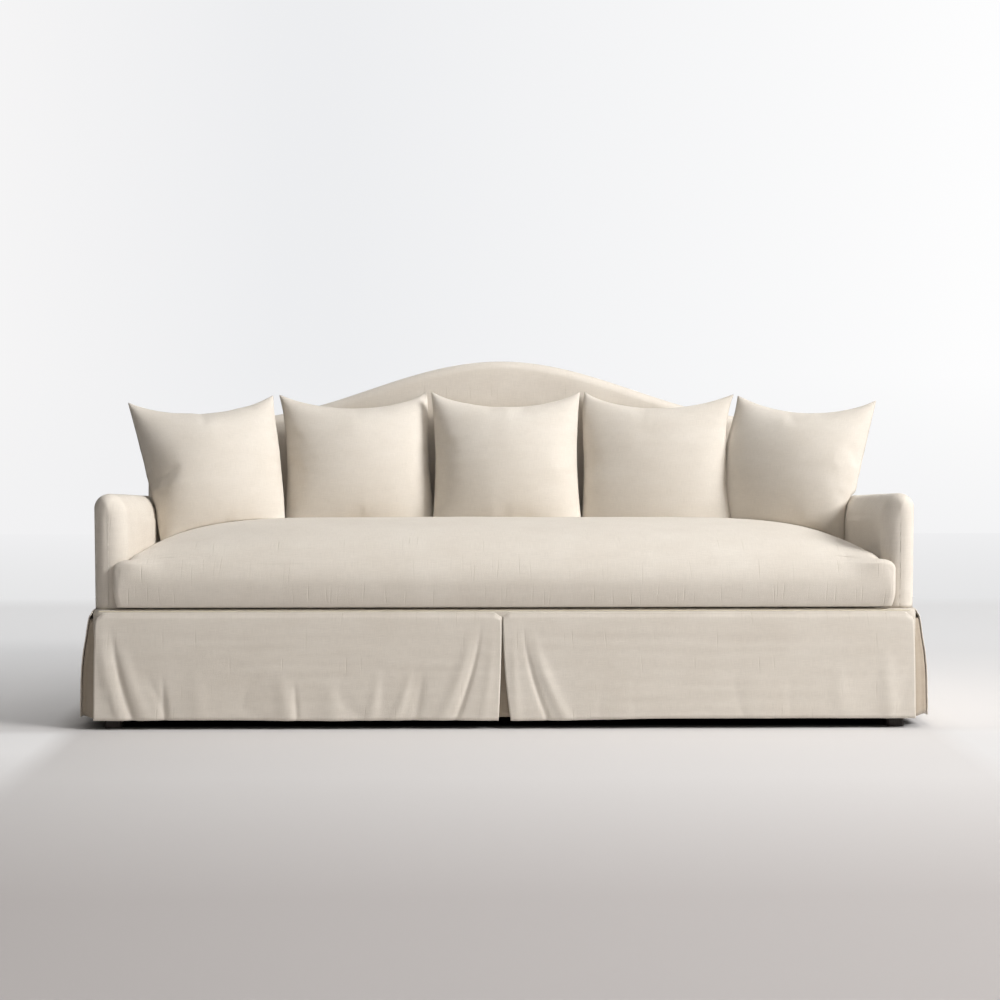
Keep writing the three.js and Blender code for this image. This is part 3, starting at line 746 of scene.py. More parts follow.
@dataclass(frozen=True)
class WovenFinish:
    """Undyed linen and the other woven cloths of the sofa."""

    name: str
    light: Triple
    dark: Triple
    threads_per_metre: float = 900.0
    thread_height: float = 0.00022
    thread_strength: float = 0.8
    unevenness: float = 0.35
    crumple: float = 0.0011
    crumple_strength: float = 0.9
    slub_strength: float = 0.5
    sheen: float = 0.2
    sheen_roughness: float = 0.45
    specular: float = 0.25
    roughness: float = 0.88
    roughness_swing: float = 0.05
    on_map: bool = True
    seam_inset: float = 0.0
    seam_width: float = 0.003
    seam_share: float = 0.45
    seam_shade: Triple = (0.55, 0.52, 0.48)
    crease_depth: float = 0.0
    crease_cover: float = 0.45
    crease_rear: float = 2.0
    crease_fade: float = 0.08
    crease_share: float = 0.26
    crease_shade: Triple = (0.72, 0.70, 0.66)

    def material(self) -> bpy.types.Material:
        """Builds the cloth's material.

        Returns:
            The material.
        """
        material, sheet, shader = new_material(self.name)
        coordinates = sheet.add("ShaderNodeTexCoord")
        place = coordinates.outputs["Object"]
        cloth = coordinates.outputs["UV" if self.on_map else "Object"]
        weave = use_group(sheet, EFFECTS.weave, Cloth=cloth, Threads=self.threads_per_metre,
                          Unevenness=self.unevenness)
        mottle = use_group(sheet, EFFECTS.mottle, Place=place)
        slub = sheet.times(weave.outputs["Slub"], self.slub_strength)
        tone = sheet.tint(mottle.outputs["Mottle"], self.dark, self.light)
        level = sheet.fill(sheet.add("ShaderNodeHueSaturation"), Color=tone,
                           Value=sheet.remap(slub, -0.25, 0.25, 1.06, 0.90))
        colour = level.outputs[0]
        relief = None
        if self.seam_inset > 0:
            colour = self.seam(sheet, cloth, colour)
        if self.crease_depth > 0:
            line = self.crease_line(sheet, cloth, place)
            # The creases are darkened in colour as well as sunk: painted shade in their hollows.
            share = sheet.times(line, self.crease_share)
            colour = sheet.tint(share, colour, deeper(self.dark, self.crease_shade))
            relief = sheet.bump(line, self.crease_depth, invert=True)
        rough = sheet.remap(slub, -0.3, 0.3, self.roughness - self.roughness_swing,
                            self.roughness + self.roughness_swing)
        relief = sheet.bump(mottle.outputs["Soft bump"], self.crumple, self.crumple_strength, relief)
        relief = sheet.bump(weave.outputs["Height"], self.thread_height, self.thread_strength, relief)
        sheet.fill(shader, Base_Color=colour, Roughness=rough, Sheen_Weight=self.sheen,
                   Sheen_Roughness=self.sheen_roughness, Specular_IOR_Level=self.specular, Normal=relief)
        return material

    def crease_line(self, sheet: NodeSheet, cloth: object, place: object) -> bpy.types.NodeSocket:
        """Where the cloth is creased, fading out towards the rear.

        Args:
            sheet: The material's node sheet.
            cloth: The place on the flat cloth.
            place: The place in the sofa.

        Returns:
            The share's socket: 1 in a crease and 0 between them.
        """
        creases = use_group(sheet, EFFECTS.creases, Cloth=cloth, Cover=self.crease_cover)
        depth = sheet.parts(place)[Axis.Y.value]
        ahead = sheet.remap(depth, self.crease_rear - self.crease_fade, self.crease_rear, 1.0, 0.0)
        return sheet.times(creases.outputs["Crease"], ahead)

    def seam(self, sheet: NodeSheet, cloth: object, colour: object) -> bpy.types.NodeSocket:
        """Darkens the line where two panels are sewn, a set way in from the cloth's edge.

        Args:
            sheet: The material's node sheet.
            cloth: The place on the flat cloth.
            colour: The cloth's colour.

        Returns:
            The darkened colour's socket.
        """
        x, y, _ = sheet.parts(cloth)
        far = sheet.highest(sheet.size(x), sheet.size(y))
        line = sheet.remap(far, self.seam_inset - self.seam_width, self.seam_inset, 0.0, self.seam_share)
        return sheet.tint(line, colour, deeper(self.dark, self.seam_shade))


@dataclass(frozen=True)
class TimberFinish:
    """Sawn hardwood of the frame, or stained wood of the feet."""

    name: str
    early: Triple
    late: Triple
    roughness: float
    along: Axis = Axis.X
    roughness_swing: float = 0.08
    pore_depth: float = 0.0004
    pore_shade: Triple = (0.5, 0.5, 0.5)

    def material(self) -> bpy.types.Material:
        """Builds the timber's material, with its grain along one axis.

        Returns:
            The material.
        """
        material, sheet, shader = new_material(self.name)
        coordinates = sheet.add("ShaderNodeTexCoord")
        turns = {Axis.X: (0.0, math.pi / 2, 0.0), Axis.Y: (math.pi / 2, 0.0, 0.0), Axis.Z: (0.0, 0.0, 0.0)}
        turn = sheet.fill(sheet.add("ShaderNodeMapping"), Rotation=turns[self.along],
                          Vector=coordinates.outputs["Object"])
        grain = use_group(sheet, EFFECTS.grain, Place=turn.outputs[0])
        pores = grain.outputs["Pores"]
        colour = sheet.tint(grain.outputs["Grain"], self.early, self.late)
        share = sheet.remap(pores, 0.55, 0.75, 0.0, 0.5)
        pored = sheet.tint(share, colour, deeper(self.late, self.pore_shade))
        rough = sheet.remap(pores, 0.3, 0.7, self.roughness - self.roughness_swing,
                            self.roughness + self.roughness_swing)
        sheet.fill(shader, Base_Color=pored, Roughness=rough, Normal=sheet.bump(pores, self.pore_depth))
        return material


@dataclass(frozen=True)
class SteelFinish:
    """Drawn spring wire with a thin film of oil."""

    name: str = "Drawn spring wire"
    dull: Triple = (0.20, 0.205, 0.21)
    bright: Triple = (0.42, 0.42, 0.43)
    mark_scale: Triple = (300.0, 30.0, 300.0)

    def material(self) -> bpy.types.Material:
        """Builds the wire's material.

        Returns:
            The material.
        """
        material, sheet, shader = new_material(self.name)
        coordinates = sheet.add("ShaderNodeTexCoord")
        marks = sheet.noise(sheet.scaled(coordinates.outputs["Object"], self.mark_scale), 1.0, 3.0)
        sheet.fill(shader, Base_Color=sheet.tint(marks, self.dull, self.bright),
                   Roughness=sheet.remap(marks, 0.3, 0.7, 0.28, 0.48), Metallic=1.0)
        return material


@dataclass(frozen=True)
class FoamFinish:
    """Open-cell foam and wadding under the covers."""

    name: str = "Foam and wadding"
    yellowed: Triple = (0.74, 0.66, 0.46)
    fresh: Triple = (0.86, 0.81, 0.68)
    cell_scale: float = 500.0
    cell_depth: float = 0.0006

    def material(self) -> bpy.types.Material:
        """Builds the foam's material.

        Returns:
            The material.
        """
        material, sheet, shader = new_material(self.name)
        place = sheet.add("ShaderNodeTexCoord").outputs["Object"]
        cells = sheet.fill(sheet.add("ShaderNodeTexVoronoi"), Vector=place, Scale=self.cell_scale)
        distance = cells.outputs["Distance"]
        aged = sheet.noise(place, 5.0, 3.0)
        sheet.fill(shader, Base_Color=sheet.tint(aged, self.yellowed, self.fresh),
                   Roughness=sheet.remap(distance, 0.0, 0.6, 0.86, 0.96),
                   Normal=sheet.bump(distance, self.cell_depth))
        return material


LINEN = WovenFinish("Oatmeal linen cover", (0.790, 0.732, 0.652), (0.720, 0.656, 0.574),
                    crease_depth=0.0004, crease_cover=0.16)
SEAT_LINEN = WovenFinish("Oatmeal linen seat", (0.790, 0.732, 0.652), (0.720, 0.656, 0.574),
                         crease_depth=0.0006, crease_cover=0.46, crease_rear=-0.30)
PILLOW_LINEN = WovenFinish("Oatmeal linen pillow", (0.780, 0.726, 0.652), (0.716, 0.656, 0.576),
                           sheen=0.1, seam_inset=0.2595)
# The pleat lining is a darker brown lining, darkened further as painted shade for the dark openings of the
# front pleats.
PLEAT_SHADE_LINING = WovenFinish("Pleat lining in painted shade", (0.45, 0.38, 0.30), (0.37, 0.305, 0.235))
DECK_CLOTH = WovenFinish("Deck cloth", (0.70, 0.64, 0.56), (0.62, 0.56, 0.48), threads_per_metre=1300.0)
BURLAP = WovenFinish("Spring burlap", (0.46, 0.33, 0.18), (0.32, 0.21, 0.10), threads_per_metre=320.0,
                     thread_height=0.0006, unevenness=0.6, on_map=False, sheen=0.0)
DUST_CLOTH = WovenFinish("Black dust cloth", (0.030, 0.028, 0.026), (0.018, 0.016, 0.015),
                         threads_per_metre=1500.0, thread_height=0.0001, sheen=0.0)
# The feet are stained almost black: a dark stain plus painted shade for the dark under the skirt.
FOOT_STAIN_AND_SHADE = TimberFinish("Stained foot in painted shade", (0.020, 0.012, 0.008), (0.010, 0.006, 0.004), 0.55, Axis.Z)


@dataclass
class Upholstery:
    """What the soft sub-assemblies share: their cloth and how a piece is handed over."""

    cloth: bpy.types.Material
    slot: str = "linen"
    body: str = "frame"

    def dress(
        self, piece: bpy.types.Object, *nodes: str, body: str | None = None,
        cloth: bpy.types.Material | None = None, slot: str | None = None,
    ) -> None:
        """Gives a piece its cloth, its body and the CAD nodes that it stands for.

        Args:
            piece: The finished piece.
            nodes: The CAD nodes that it replaces.
            body: The body that it rides on, if not the sub-assembly's own.
            cloth: Its cloth, if not the sub-assembly's own.
            slot: The name of its cloth's slot, if not the sub-assembly's own; not used.
        """
        piece.data.materials.clear()
        piece.data.materials.append(cloth or self.cloth)
        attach(piece, body or self.body)
        if nodes:
            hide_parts(*nodes)
        slot or self.slot
        LOG.info("%s rides on %s", piece.name, body or self.body)


@dataclass
class ArmCovers(Upholstery):
    """The padded arms: a full inner roll, a tighter outer one and a rounded front."""

    cells: tuple[int, int, int] = (30, 64, 26)
    inner_roll_width: float = 0.046
    inner_roll_drop: float = 0.070
    outer_roll_drop: float = 0.038
    slump: float = 0.007
    front_radius: float = 0.034
    inner_front_radius: float = 0.046
    radius_change: float = 1.4
    round_share: float = 0.5
    crumple: float = 0.0012
    crumple_scale: Triple = (7.0, 5.0, 7.0)
    crumple_lift: float = 0.6
    crumple_fades: Pair = (6.0, 8.0)
    outer_hollow: float = 0.0025
    outer_face: float = 0.98

    def rear(self, z: float) -> float:
        """Y where the arm meets the front of the back, at a height."""
        return SIZES.back_front(z) - SIZES.rear_gap

    def place(self, side: Side) -> Place:
        """The rule that shapes one arm from a cut cube.

        Args:
            side: The arm's side of the sofa.

        Returns:
            The rule.
        """
        apex = SIZES.arm_inner + self.inner_roll_width
        outer_width = SIZES.arm_thickness - self.inner_roll_width
        low = SIZES.cover_bottom
        scale_x, scale_y, scale_z = self.crumple_scale
        front_fade, rear_fade = self.crumple_fades

        def rule(u: float, v: float, w: float) -> Triple:
            """Moves a corner of the cube to the arm's surface.

            Args:
                u: Its share across, from -1 to 1.
                v: Its share from the front to the rear.
                w: Its share from the bottom to the top.

            Returns:
                Its place.
            """
            out = side.value * u
            along = (v + 1) / 2
            turn = min(1.0, along / self.round_share) * math.pi / 2
            inner = smooth(0.5 - out * self.radius_change)
            radius = self.front_radius + (self.inner_front_radius - self.front_radius) * inner
            drawn = radius * (1 - math.sin(turn))
            swing = abs(out) * math.pi / 2
            width = self.inner_roll_width if out < 0 else outer_width
            drop = self.inner_roll_drop if out < 0 else self.outer_roll_drop
            x = apex + math.copysign((width - drawn) * math.sin(swing), out)
            start = SIZES.arm_front + radius * (1 - math.cos(turn))
            run = clamp((along - self.round_share) / (1 - self.round_share))
            guess = start + (self.rear(SIZES.arm_top(0.0)) - start) * run
            top = SIZES.arm_top(guess) - self.slump * run - drawn - drop * (1 - math.cos(swing))
            z = low + (top - low) * (w + 1) / 2
            y = start + (self.rear(z) - start) * run
            push = self.crumple * drift(x * scale_x, y * scale_y, z * scale_z, side.value)
            push *= smooth(run * front_fade) * smooth((1 - run) * rear_fade)
            hollow = self.outer_hollow * math.sin(math.pi * run) if abs(out) > self.outer_face else 0.0
            return side.value * (x + math.copysign(push - hollow, out)), y, z + push * self.crumple_lift

        return rule

    def build(self) -> None:
        """Builds both arms."""
        for side in Side:
            piece = shaped_block(f"arm_upholstery_{side.word}", self.cells, self.place(side))
            self.dress(piece, f"arm_cover_{side.word}", f"arm_pad_{side.word}")


@dataclass
class BackCover(Upholstery):
    """The camel back: level shoulders, a smooth hump and a softly rolled top edge."""

    cells: tuple[int, int, int] = (150, 22, 34)
    front_radius: float = 0.026
    rear_radius: float = 0.010
    side_radius: float = 0.008
    round_share: float = 2 / 3
    crumple: Ripple = Ripple(0.0016, (3.2, 4.0, 4.0))
    crumple_fades: Pair = (8.0, 4.0)
    bow: float = 0.030
    bow_start: float = 0.70
    bow_rise: float = 0.15

    @classmethod
    def bow_at(cls, x: float, z: float) -> float:
        """How far the hump's front swells forward at a place across and up it."""
        return cls.bow * SIZES.hump(x) * smooth((z - cls.bow_start) / cls.bow_rise)

    def place(self, u: float, v: float, w: float) -> Triple:
        """Moves a corner of the cube to the back's surface.

        Args:
            u: Its share across, from -1 to 1.
            v: Its share from the front to the rear.
            w: Its share from the bottom to the top.

        Returns:
            Its place.
        """
        turn = min(1.0, (1 - abs(v)) / self.round_share) * math.pi / 2
        drawn = 1 - math.sin(turn)
        radius = self.rear_radius if v > 0 else self.front_radius
        spread = crowded(u)
        x = spread * (SIZES.half_width - self.side_radius * drawn)
        top = SIZES.outline(spread * SIZES.half_width) - radius * drawn
        low = SIZES.cover_bottom
        z = low + (top - low) * (w + 1) / 2
        depth = (SIZES.back_rear(z) - SIZES.back_front(z)) / 2
        step = min(radius, depth) * (1 - math.cos(turn))
        straight = clamp(1 - abs(v) / (1 - self.round_share))
        reach = (depth - step) * (1 - straight)
        y = (SIZES.back_front(z) + SIZES.back_rear(z)) / 2 + math.copysign(reach, v)
        if v < 0:
            y -= self.bow_at(x, z) * reach / depth
        end_fade, low_fade = self.crumple_fades
        soft = self.crumple.wave(x, 0.0 if v < 0 else 1.0, z)
        y += soft * smooth((1 - abs(u)) * end_fade) * smooth((w + 1) * low_fade)
        return x, y, z + soft * 0.5 * smooth((w + 1) / 2)

    def build(self) -> None:
        """Builds the back."""
        piece = shaped_block("back_upholstery", self.cells, self.place)
        self.dress(piece, "back_cover")


@dataclass(frozen=True)
class Fold:
    """One soft fold of the skirt, from where it starts to where it meets the hem."""

    top: float
    hem: float
    width: float
    lift: float
    start: float = 0.05
    wander_power: float = 1.7
    top_width: float = 0.55
    rise_rate: float = 1.6

    def out(self, along: float, fall: float) -> float:
        """How far the fold stands out.

        Args:
            along: A place along the panel.
            fall: A share of the drop.

        Returns:
            The distance there.
        """
        share = clamp((fall - self.start) / (1 - self.start))
        middle = self.top + (self.hem - self.top) * share**self.wander_power
        spread = self.width * (self.top_width + (1 - self.top_width) * share)
        return self.lift * smooth(share * self.rise_rate) * bell(along - middle, spread)


@dataclass
class Skirt(Upholstery):
    """The skirt: panels that hang from the deck line, and underlays behind its pleats."""

    # The cloth behind the front pleats: a darker lining, darkened further as painted shade.
    lining: bpy.types.Material | None = None
    hem_height: float = 0.025
    cloth_thickness: float = 0.0024
    seam_allowance: float = 0.01
    rows: int = 40
    row_power: float = 1.25
    long_columns: int = 240
    side_columns: int = 110
    side_flare: float = 0.042
    flare_power: float = 0.42
    plain_share: float = 0.7
    seam_share: float = 0.03
    front_seam_drop: float = 0.0065
    plain_seam_drop: float = 0.0013
    front_shoulder_dip: float = 0.012
    plain_shoulder_dip: float = 0.003
    shoulder_run: float = 0.022
    side_recess: float = 0.034
    side_end_gap: float = 0.001
    corner_inset: float = 0.012
    corner_spread: float = 0.009
    pleat_x: float = -0.0095
    pleat_gap: float = 0.0012
    pleat_left_opening: float = 0.008
    pleat_right_opening: float = 0.021
    ripple: Ripple = Ripple(0.0012, (9.0, 2.2, 40.0))
    wrinkle: Ripple = Ripple(0.0026, (8.0, 1.4, 60.0), 3.0)
    wrinkle_start: float = 0.4
    wrinkle_run: float = 0.5
    crossing: Ripple = Ripple(0.0009, (4.0, 14.0, 7.0))
    crossing_rate: float = 3.0
    calm_share: float = 0.45
    calm_start: float = 0.1
    calm_run: float = 0.3
    loose_at_hem: float = 0.001
    hem_sag: Ripple = Ripple(0.0045, (2.3, 30.0, 2.0))
    seam_roll: float = 0.0022
    roll_run: float = 0.02
    dip_run: float = 0.06
    underlay_top: float = 0.085
    underlay_span: float = 0.895
    underlay_rows: int = 18
    underlay_drop: float = 0.25
    underlay_flat_drop: float = 0.256
    underlay_thickness: float = 0.0016
    middle_half: float = 0.070
    middle_columns: int = 24
    middle_set_back: float = 0.0044
    middle_hollow: float = 0.009
    middle_ripple: float = 0.0008
    middle_waves: float = 5.0
    corner_leg: float = 0.090
    corner_turn: float = 0.02
    corner_columns: int = 36
    corner_clearance: float = 0.002
    corner_set_back: float = 0.0012
    corner_flat_width: float = 0.235
    front_folds: tuple[Fold, ...] = (
        Fold(-1.045, -1.000, 0.022, 0.0044, 0.03), Fold(-1.016, -0.962, 0.010, -0.0046, 0.06),
        Fold(-0.990, -0.925, 0.022, 0.0030, 0.20), Fold(-0.885, -0.878, 0.009, -0.0034, 0.55),
        Fold(-0.800, -0.780, 0.030, 0.0020, 0.50), Fold(-0.580, -0.560, 0.026, 0.0034, 0.50),
        Fold(-0.545, -0.540, 0.008, -0.0032, 0.62), Fold(-0.455, -0.440, 0.030, 0.0022, 0.55),
        Fold(-0.330, -0.350, 0.018, 0.0024, 0.50), Fold(-0.245, -0.290, 0.016, 0.0028, 0.45),
        Fold(-0.215, -0.235, 0.012, -0.0022, 0.50), Fold(-0.064, -0.130, 0.007, -0.0042, 0.02),
        Fold(-0.088, -0.168, 0.020, 0.0034, 0.06), Fold(-0.034, -0.060, 0.014, 0.0016, 0.10),
        Fold(0.044, 0.110, 0.007, -0.0036, 0.05), Fold(0.070, 0.160, 0.020, 0.0036, 0.10),
        Fold(0.018, 0.030, 0.012, 0.0016, 0.12), Fold(0.330, 0.300, 0.060, 0.0016, 0.35),
        Fold(0.640, 0.660, 0.070, 0.0016, 0.40), Fold(0.860, 0.880, 0.030, 0.0020, 0.45),
        Fold(0.985, 1.000, 0.026, 0.0030, 0.25),
    )
    side_folds: tuple[Fold, ...] = (
        Fold(-0.430, -0.440, 0.060, 0.011, 0.05), Fold(-0.240, -0.200, 0.060, 0.0060, 0.15),
        Fold(-0.040, -0.020, 0.050, 0.0050, 0.25), Fold(0.170, 0.200, 0.060, 0.0070, 0.15),
        Fold(0.430, 0.440, 0.060, 0.011, 0.05),
    )
    back_folds: tuple[Fold, ...] = (
        Fold(-1.000, -0.960, 0.040, 0.0045, 0.05), Fold(-0.560, -0.520, 0.060, 0.0030, 0.25),
        Fold(0.0, 0.030, 0.060, 0.0032, 0.25), Fold(0.540, 0.580, 0.060, 0.0030, 0.25),
        Fold(1.000, 0.960, 0.040, 0.0045, 0.05),
    )

    @property
    def top(self) -> float:
        """Height of the skirt's seam."""
        return SIZES.deck_height - SIZES.seat_gap

    @property
    def drop(self) -> float:
        """How far the skirt hangs."""
        return self.top - self.hem_height

    def height(self, fall: float) -> float:
        """Height at a share of the drop."""
        return self.top + (self.hem_height - self.top) * fall

    def flare_at(self, fall: float) -> float:
        """Share of the flare at a share of the drop."""
        return max(0.0, (fall - self.seam_share) / (1 - self.seam_share)) ** self.flare_power

    def stand_off(self, flare: float, folds: tuple[Fold, ...], along: float, fall: float) -> float:
        """How far the cloth's outer face stands off the body.

        Args:
            flare: How far the hem stands off.
            folds: The panel's folds.
            along: A place along the panel.
            fall: A share of the drop.

        Returns:
            The distance there.
        """
        plain = flare * self.plain_share * self.flare_at(fall)
        waves = sum(fold.out(along, fall) for fold in folds)
        limit = flare * self.flare_at(fall) + self.loose_at_hem
        loose = self.calm_share + (1 - self.calm_share) * smooth((self.calm_start - along) / self.calm_run)
        ripple = self.ripple.wave(along, fall, flare) * fall
        low = smooth((fall - self.wrinkle_start) / self.wrinkle_run)
        ripple -= self.wrinkle.fold(along, fall, flare) * low * loose
        crossing = self.crossing.wave(along, fall, 1.0) * smooth(fall * self.crossing_rate)
        return clamp(plain + waves + ripple + crossing, 0.0, limit)

    def row_fall(self, w: float) -> float:
        """Share of the drop at a row, with rows closer near the seam."""
        return ((1 - w) / 2) ** self.row_power

    def panel(
        self, name: str, length: float, flare: float, folds: tuple[Fold, ...],
        ends: Callable[[float], Pair], place: Callable[[float, float, float], Vector],
    ) -> bpy.types.Object:
        """Builds one hanging panel.

        Args:
            name: The piece's name.
            length: The cloth's flat length along the seam.
            flare: How far the hem stands off.
            folds: The panel's folds.
            ends: The panel's two ends at a share of the drop.
            place: Sets a place along, a stand-off and a height in the frame.

        Returns:
            The panel.
        """
        ahead = folds is self.front_folds
        seam_drop = self.front_seam_drop if ahead else self.plain_seam_drop
        dip = self.front_shoulder_dip if ahead else self.plain_shoulder_dip
        columns = self.side_columns if folds is self.side_folds else self.long_columns

        def rule(u: float, w: float) -> Vector:
            """Moves a corner of the grid to the cloth's middle.

            Args:
                u: Its share along the panel, from -1 to 1.
                w: Its share up the panel.

            Returns:
                Its place.
            """
            fall = self.row_fall(w)
            start, end = ends(fall)
            along = start + (end - start) * (u + 1) / 2
            out = SIZES.seat_gap + self.stand_off(flare, folds, along, fall) + SIZES.skirt_thickness / 2
            sag = self.hem_sag.wave(along, flare, 1.0) * smooth(fall * 1.2 - 0.2)
            near_end = (abs(u * length / 2) - length / 2 + self.shoulder_run) / self.shoulder_run
            shoulder = dip * smooth(near_end) * bell(fall, self.dip_run)
            z = self.height(fall) + sag * fall - seam_drop * (1 - fall) - shoulder
            return place(along, out - self.seam_roll * bell(fall, self.roll_run), z)

        def flat(u: float, w: float) -> Pair:
            """A corner's place on the flat cloth."""
            return length * (u + 1) / 2, self.drop * self.row_fall(w)

        piece = hanging_sheet(name, (columns, self.rows), rule, flat, self.cloth_thickness)
        return piece

    def corner(self, fall: float) -> float:
        """Where a front or back panel ends at a share of the drop."""
        return SIZES.half_width - self.corner_inset + self.corner_spread * self.flare_at(fall)

    def side_start(self, fall: float) -> float:
        """Y where a side panel starts at a share of the drop."""
        return self.side_recess * self.flare_at(fall) - SIZES.body_face

    def pleat(self, fall: float, side: Side) -> float:
        """Where a front panel ends at the middle pleat, at a share of the drop."""
        opening = self.pleat_left_opening if side is Side.LEFT else self.pleat_right_opening
        return self.pleat_x + side.value * (self.pleat_gap + opening * fall**2)

    def build_front(self) -> None:
        """Builds the two front panels, which meet at the middle pleat."""

        def place(along: float, out: float, z: float) -> Vector:
            """Sets a place on the front of the sofa."""
            return Vector((along, -SIZES.body_face - out, z))

        ends = {
            Side.LEFT: lambda fall: (-self.corner(fall), self.pleat(fall, Side.LEFT)),
            Side.RIGHT: lambda fall: (self.pleat(fall, Side.RIGHT), self.corner(fall)),
        }
        for side in Side:
            piece = self.panel(f"skirt_panel_front_{side.word}", SIZES.half_width, SIZES.skirt_flare,
                               self.front_folds, ends[side], place)
            self.dress(piece, f"skirt_front_{side.word}")

    def build_sides(self) -> None:
        """Builds the two side panels."""
        end = SIZES.body_face - self.side_end_gap
        for side in Side:

            def place(along: float, out: float, z: float, side: Side = side) -> Vector:
                """Sets a place on one side of the sofa."""
                return Vector((side.value * (SIZES.half_width + out), along, z))

            piece = self.panel(f"skirt_panel_{side.word}", 2 * end, self.side_flare, self.side_folds,
                               lambda fall: (self.side_start(fall), end), place)
            self.dress(piece, f"skirt_{side.word}")

    def build_back(self) -> None:
        """Builds the back panel and the returns behind its corner pleats."""

        def place(along: float, out: float, z: float) -> Vector:
            """Sets a place on the back of the sofa."""
            return Vector((along, SIZES.body_face + out, z))

        panel = self.panel("skirt_panel_back", 2 * SIZES.half_width, SIZES.skirt_flare, self.back_folds,
                           lambda fall: (-self.corner(fall), self.corner(fall)), place)
        self.dress(panel, "skirt_back")
        for side in Side:
            self.dress(self.corner_sheet(f"back_pleat_underlay_{side.word}", side, 1, -SIZES.rest_gap))

    def underlay_fall(self, w: float) -> float:
        """Share of the drop at a row of an underlay."""
        return self.underlay_top + self.underlay_span * (1 - w) / 2

    def underlay(
        self, name: str, columns: int, rule: Hang, half: float, flat_width: float
    ) -> bpy.types.Object:
        """Hangs one sheet behind a pleat.

        Args:
            name: The piece's name.
            columns: How many cells lie across it.
            rule: The rule that moves a corner of the grid.
            half: Half the length of its path behind the pleat.
            flat_width: The cloth's flat width; not used.

        Returns:
            The sheet.
        """

        def flat(u: float, w: float) -> Pair:
            """A corner's place on the flat cloth."""
            return half * (u + 1), self.underlay_drop * (1 - w) / 2

        piece = hanging_sheet(name, (columns, self.underlay_rows), rule, flat, self.underlay_thickness)
        return piece

    def corner_sheet(self, name: str, side: Side, end: int, back_set: float) -> bpy.types.Object:
        """The sheet behind a corner pleat: one leg along the end and one along the side.

        Args:
            name: The piece's name.
            side: The side of the sofa.
            end: -1 at the front and 1 at the back.
            back_set: How far the leg along the end is set back from its panel.

        Returns:
            The sheet.
        """
        leg = self.corner_leg
        folds = self.front_folds if end < 0 else self.back_folds

        def rest(flare: float, waves: tuple[Fold, ...], along: float, set_back: float, fall: float) -> float:
            """How far the sheet stands off the body behind its panel."""
            free = self.stand_off(flare, waves, along, fall) - set_back - self.corner_clearance
            return max(SIZES.seat_gap, free)

        def rule(u: float, w: float) -> Vector:
            """Moves a corner of the grid to the sheet.

            Args:
                u: Its share around the corner: below 0 on the end, above 0 on the side.
                w: Its share up the sheet.

            Returns:
                Its place.
            """
            fall = self.underlay_fall(w)
            turn_y = SIZES.body_face - (self.side_recess * self.flare_at(fall) if end < 0 else 0.0)
            far = rest(self.side_flare, self.side_folds, end * turn_y, self.corner_set_back, fall)
            far_x = SIZES.half_width + far
            if u < 0:
                x = far_x + (SIZES.half_width - leg - far_x) * -u
                y = SIZES.body_face + rest(SIZES.skirt_flare, folds, side.value * x, back_set, fall)
                panel_end = self.corner(fall) - 2 * self.corner_clearance
                y += (turn_y - y) * smooth((x - panel_end) / (far_x - panel_end))
            else:
                y = turn_y + (SIZES.body_face - leg - turn_y) * u
                off = rest(self.side_flare, self.side_folds, end * y, self.corner_set_back, fall)
                x = SIZES.half_width + off
            return Vector((side.value * x, end * y, self.height(fall)))

        return self.underlay(name, self.corner_columns, rule, leg + self.corner_turn, self.corner_flat_width)

    def build_underlays(self) -> None:
        """Builds the sheets behind the front pleats."""
        half = self.middle_half

        def rule(u: float, w: float) -> Vector:
            """Moves a corner of the grid to the middle underlay.

            Args:
                u: Its share across, from -1 to 1.
                w: Its share up.

            Returns:
                Its place.
            """
            fall = self.underlay_fall(w)
            near = SIZES.skirt_flare * self.plain_share * self.flare_at(fall) - self.middle_set_back
            rest = max(SIZES.seat_gap, near - self.middle_hollow * bell(u * half - self.pleat_x, half / 2))
            ripple = self.middle_ripple * math.sin(u * self.middle_waves) * fall
            y = -SIZES.body_face - rest - self.corner_clearance / 2 + ripple
            return Vector((u * half, y, self.height(fall)))

        middle = self.underlay("middle_pleat_underlay", self.middle_columns, rule, half, 2 * half)
        sheets = {"middle": middle}
        for side in Side:
            name = f"front_pleat_underlay_{side.word}"
            sheets[side.word] = self.corner_sheet(name, side, -1, self.corner_set_back)
        # The front underlays take the darkened lining: painted shade inside the pleats.
        for word, sheet in sheets.items():
            self.dress(sheet, f"pleat_underlay_{word}", cloth=self.lining, slot="pleat_lining")

    def build(self) -> None:
        """Builds the whole skirt."""
        self.build_front()
        self.build_sides()
        self.build_back()
        self.build_underlays()


